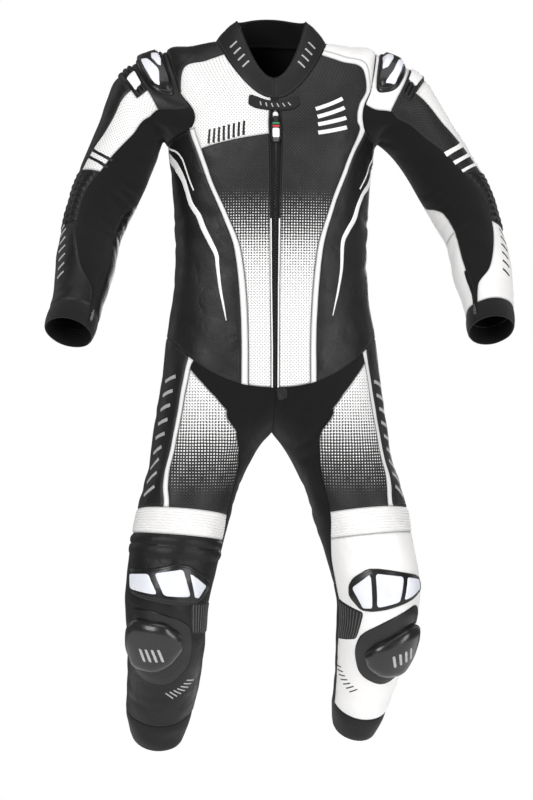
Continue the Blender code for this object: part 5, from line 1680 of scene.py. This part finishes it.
SLIDER_BARS = {
    "right": tuple(((x, 5.60 + y), (x + 3.4, 5.60 + y), (x - 2, 5.84 + y), (x - 5.4, 5.84 + y))
                   for x, y in ((8, 0.00), (15, 0.014), (22, 0.028), (29, 0.042))),
    "left": tuple(((x, 5.76 - y), (x + 3.6, 5.76 - y), (x + 9, 6.01 - y), (x + 5.4, 6.01 - y))
                  for x, y in ((14, 0.00), (21.5, 0.027), (29, 0.054), (36.5, 0.081))),
}
for tag, side in SIDES.items():
    plate = Boss("leg", side, KNEE_PLATE[side], PLATE_BEVEL, 0.0016, share=0.16)
    plate.build("knee_plate_frame_" + tag, "armour", ("knee_plate_" + tag,), 160)
    for k, outline in enumerate(KNEE_INSERTS[side]):
        Boss("leg", side, outline, ((0.0, -0.0004), (0.0006, 0.0006), (0.0020, 0.0010)), 0.0005,
             plate.full_height, share=0.07).build("knee_insert_%s_%d" % (tag, k), "insert", spokes=64)
    pad = Boss("leg", side, SLIDER_BASE[side], BASE_BEVEL, 0.0004)
    pad.build("slider_base_pad_" + tag, "armour", ("slider_base_" + tag,), 144)
    puck = Boss("leg", side, KNEE_SLIDER[side], PUCK_BEVEL, 0.0024, pad.full_height, share=0.16)
    puck.build("knee_slider_puck_" + tag, "slider", ("knee_slider_" + tag,), 144)
    for k, outline in enumerate(SLIDER_BARS[side]):
        Boss("leg", side, outline, ((0.0, -0.0003), (0.0004, 0.0004), (0.0010, 0.0006)), 0.0,
             puck.full_height, share=0.10).build("slider_bar_%s_%d" % (tag, k), "silver", spokes=48)

# Gripping mesh patches beside the knees: a flat backing with upright cords
MESH_PATCH = {
    "right": ((-34, 4.86), (-83, 4.98), (-85, 5.70), (-38, 5.46)),
    "left": ((-80, 4.90), (-28, 5.05), (-37, 5.62), (-77, 5.88)),
}
for tag, side in SIDES.items():
    outline = MESH_PATCH[side]
    patch = Boss("leg", side, outline, ((0.0, 0.0), (0.0006, 0.0010), (0.0020, 0.0012)), 0.0, share=0.06)
    patch.build("mesh_patch_" + tag, "rubber")
    corners = np.array(outline, float)
    for k in range(9):
        f = (k + 0.6) / 9.2
        top = corners[0] + (corners[1] - corners[0]) * f
        low = corners[3] + (corners[2] - corners[3]) * f
        ends = np.array([top + (low - top) * 0.06, top + (low - top) * 0.5, top + (low - top) * 0.94])
        ribbon("mesh_cord_%s_%d" % (tag, k), "leg", side, ends, 1.0, 0.0024, "cord", step=0.003)

# Plain slanted bars, evenly spaced along a path
THIGH_BARS = {
    "right": ((60, 0.24), (62, 0.64), (64, 1.10), (60, 1.65), (56, 2.25), (55, 2.62)),
    "left": ((66, 0.30), (68, 0.64), (69, 1.10), (66, 1.65), (62, 2.25), (61, 2.62)),
}
FOREARM_BARS = {
    "right": ((84, 3.60), (68, 4.20), (58, 4.85), (54, 5.60)),
    "left": ((76, 3.62), (64, 4.10), (50, 4.80), (44, 5.55)),
}
SHIN_BARS = {
    "right": ((-44, 6.52), (-26, 6.72), (-4, 6.86)),
    "left": ((-72, 6.50), (-50, 6.76), (-26, 6.92)),
}
for tag, side in SIDES.items():
    sign = SIDE_SIGN[side]
    dark = "black" if tag == "L" else "silver"
    bars("thigh_bar_" + tag, "leg", side, THIGH_BARS[side], 9, 24 * sign, 3.8, 17, "silver")
    bars("forearm_bar_" + tag, "sleeve", side, FOREARM_BARS[side], 9, 20 * sign, 2.4, 10, dark)
    bars("shin_bar_" + tag, "leg", side, SHIN_BARS[side], 7, 20 * sign, 1.5, 11, dark, 0.0006)
    bars("collar_bar_" + tag, "collar", side, ((sign * 34, 1.10), (sign * 48, 1.06), (sign * 62, 1.02)), 4,
         18 * sign,
         2.0, 9, "silver", 0.0020)
bars("chest_bar_L", "torso", "left", ((28, 6.85), (28.5, 5.95), (29, 5.12)), 4, -14, 4.6, 30, "white", 0.0005)
bars("chest_bar_R", "torso", "right", ((-36, 4.97), (-27, 5.13), (-19.3, 5.35), (-12.3, 5.60)), 8, 16, 2.8,
     14,
     "black", 0.0005)
bars("tab_bar", "torso", "left", ((-11, 7.72), (0, 7.72), (11, 7.72)), 6, -20, 1.3, 4.5, "silver", 0.0036)

# Centre zip: the chain, the welts, the slider, the tab, the garage
chain("zip_chain", "torso", "left", ((0, 0.05), (0, 2.0), (0, 4.0), (0, 5.6), (0, 7.2)), 0.0021,
      (0.0030, 0.0014, 0.0016), 0.0005)
for tag, side in SIDES.items():
    sign = SIDE_SIGN[side]
    edge_path = [(sign * (row[4] - 0.15), row[0]) for row in TORSO_ROWS[:14]]
    ribbon("zip_welt_" + tag, "torso", side, edge_path[:5], 1.3, 0.0016, "white")
    ribbon("zip_welt_top_" + tag, "torso", side, edge_path[4:], 1.3, 0.0016, "black_matte")
slider = Boss("torso", "left", ZIP_SLIDER, ((0.0, 0.0002), (0.0006, 0.0034), (0.0016, 0.0046)), 0.0003,
              share=0.25)
slider.build("zip_slider_body", "metal", ("zip_slider",), 64)
tab = Boss("torso", "left", COLLAR_TAB, ((0.0, 0.0002), (0.0006, 0.0022), (0.0020, 0.0029), (0.0045, 0.0026),
                                         (0.0060, 0.0030)), 0.0003, share=0.14)
tab.build("collar_tab_cloth", "black_matte", ("collar_tab",), 144)
garage = Boss("leg", "left", GARAGE, ((0.0, 0.0002), (0.0008, 0.0018), (0.0020, 0.0024)), 0.0004, share=0.2)
garage.build("zip_garage_cloth", "black_matte", ("zip_garage",), 96)

# Cuff zips
for tag, side in SIDES.items():
    zip_boss = Boss("sleeve", side, CUFF_ZIP, ((0.0, 0.0), (0.0008, 0.0013), (0.0022, 0.0017)), 0.0,
                    share=0.12)
    zip_boss.build("cuff_zip_tape_" + tag, "tape", ("cuff_zip_" + tag,), 128)
    chain("cuff_chain_" + tag, "sleeve", side, ((-46.5, 5.26), (-43, 5.8), (-41.6, 6.3), (-41.6, 6.88)),
          0.0019,
          (0.0024, 0.0012, 0.0012), 0.0020)


# Collar binding along its top edge
for tag, side in SIDES.items():
    sign = SIDE_SIGN[side]
    angles = np.linspace(0.6, 180, 150) * sign
    rim, rim_normals = on_surface("collar", side, angles, np.full(150, 1.995))
    tube("collar_binding_" + tag, rim - rim_normals * 0.0014, 0.0017, "black_matte")

# Seam tapes on the inside, which back the neck seam and the armholes
for tag, side in SIDES.items():
    sign = SIDE_SIGN[side]
    angles = np.linspace(0.6, 180, 120) * sign
    seam, seam_normals = on_surface("torso", side, angles, np.full(120, 8.985))
    tube("neck_tape_" + tag, seam - seam_normals * 0.0034, 0.0030, "lining")
    turns = np.linspace(-90, 270, 160)
    seam, seam_normals = on_surface("sleeve", side, turns, np.full(160, 0.004))
    tube("armhole_tape_" + tag, seam - seam_normals * 0.0040, 0.0034, "lining")

# The crotch seam's tape, from the back waist to the front waist
turns = np.linspace(PHI_BACK + 3, 357 + PHI_FRONT, 90)
seam = leg_top(turns)
tube("crotch_tape", seam + unit(np.array([0.0, 0.005, -0.60]) - seam) * 0.0055, 0.0045, "lining")

# Pulls: the frame's own solids with their finish, and coloured fields on the front one
COVERED = {"zip_pull": "rubber", "cuff_pull_R": "metal", "cuff_pull_L": "metal"}
for node_name, look in COVERED.items():
    node_mesh = frame["nodes"][node_name].data
    node_mesh.materials.clear()
    node_mesh.materials.append(MATERIALS[look])


pull_fields()


# Stage, light and camera

AMBIENT, BACKDROP = 0.20, 1.0        # light of the surround on the suit and to the camera
FLOOR, FLOOR_REACH, FLOOR_BACK = -1.80, 2.6, 1.5
TARGET = np.array([-0.0088, 0.0, -0.686])
AZIMUTH, DISTANCE = math.radians(-4.0), 4.0
SENSOR_HEIGHT = 36.0                 # mm
PICTURE_HEIGHT, PIXEL = 800, 0.00196         # pixels, and metres a pixel at the suit
LIT = (0.0, 0.0, -0.65)
LIGHTS = (
    # name, place, size, watts
    ("key", (-1.9, -2.9, 0.5), (1.4, 2.2), 96),
    ("fill", (2.3, -2.7, -0.2), (1.3, 2.4), 72),
    ("top", (0.2, -0.8, 2.2), (2.2, 1.5), 26),
    ("back", (0.7, 3.2, 0.3), (2.0, 2.4), 70),
    ("rim_right", (-2.2, 1.3, 0.4), (0.8, 2.2), 6),
    ("rim_left", (2.2, 1.3, 0.3), (0.8, 2.2), 6),
)


def studio():
    """A white surround that throws little light of its own."""
    world = bpy.data.worlds.new("studio")
    world.use_nodes = True
    nodes, links = world.node_tree.nodes, world.node_tree.links
    nodes["Background"].inputs["Color"].default_value = (1, 1, 1, 1)
    level = nodes.new("ShaderNodeMapRange")
    level.inputs["To Min"].default_value = AMBIENT
    level.inputs["To Max"].default_value = BACKDROP
    links.new(nodes.new("ShaderNodeLightPath").outputs["Is Camera Ray"], level.inputs["Value"])
    links.new(level.outputs["Result"], nodes["Background"].inputs["Strength"])
    return world


def floor():
    """A plain pale floor below the suit."""
    mesh = bpy.data.meshes.new("stage_floor")
    corners = ((-FLOOR_REACH, -FLOOR_REACH), (FLOOR_REACH, -FLOOR_REACH), (FLOOR_REACH, FLOOR_BACK),
               (-FLOOR_REACH, FLOOR_BACK))
    mesh.from_pydata([(x, y, FLOOR) for x, y in corners], [], [(0, 1, 2, 3)])
    paint = Paint("stage_white")
    paint.feed(paint.shader.inputs["Base Color"], paint.mix(paint.noise(0.7), grey(0.86), grey(0.90)))
    paint.shader.inputs["Roughness"].default_value = 0.9
    paint.shader.inputs["Emission Color"].default_value = (1, 1, 1, 1)
    paint.shader.inputs["Emission Strength"].default_value = 0.30
    mesh.materials.append(paint.material)
    obj = bpy.data.objects.new("stage_floor", mesh)
    bpy.context.scene.collection.objects.link(obj)


def aim(obj, place, target):
    """Turns a light or camera at a place to look at a target, upright."""
    away = unit(np.array(place, float) - np.array(target, float))
    over = unit(np.cross((0.0, 0.0, 1.0), away))
    up = np.cross(away, over)
    obj.matrix_world = Matrix([[over[k], up[k], away[k], place[k]] for k in range(3)] + [[0, 0, 0, 1]])


def area_light(name, place, size, power):
    data = bpy.data.lights.new(name, "AREA")
    data.shape = "RECTANGLE"
    data.size, data.size_y = size
    data.energy = power
    obj = bpy.data.objects.new(name, data)
    bpy.context.scene.collection.objects.link(obj)
    aim(obj, place, LIT)


floor()
bpy.context.scene.world = studio()
bpy.context.scene.view_settings.view_transform = "Standard"
for light in LIGHTS:
    area_light(*light)

camera_data = bpy.data.cameras.new("camera")
camera_data.sensor_fit = "VERTICAL"
camera_data.sensor_height = SENSOR_HEIGHT
camera_data.lens = SENSOR_HEIGHT * DISTANCE / (PIXEL * PICTURE_HEIGHT)
camera_data.clip_end = 40
camera = bpy.data.objects.new("camera", camera_data)
bpy.context.scene.collection.objects.link(camera)
bpy.context.scene.camera = camera
look_way = np.array([-math.sin(AZIMUTH), math.cos(AZIMUTH), 0.0])
aim(camera, TARGET - look_way * DISTANCE, TARGET)
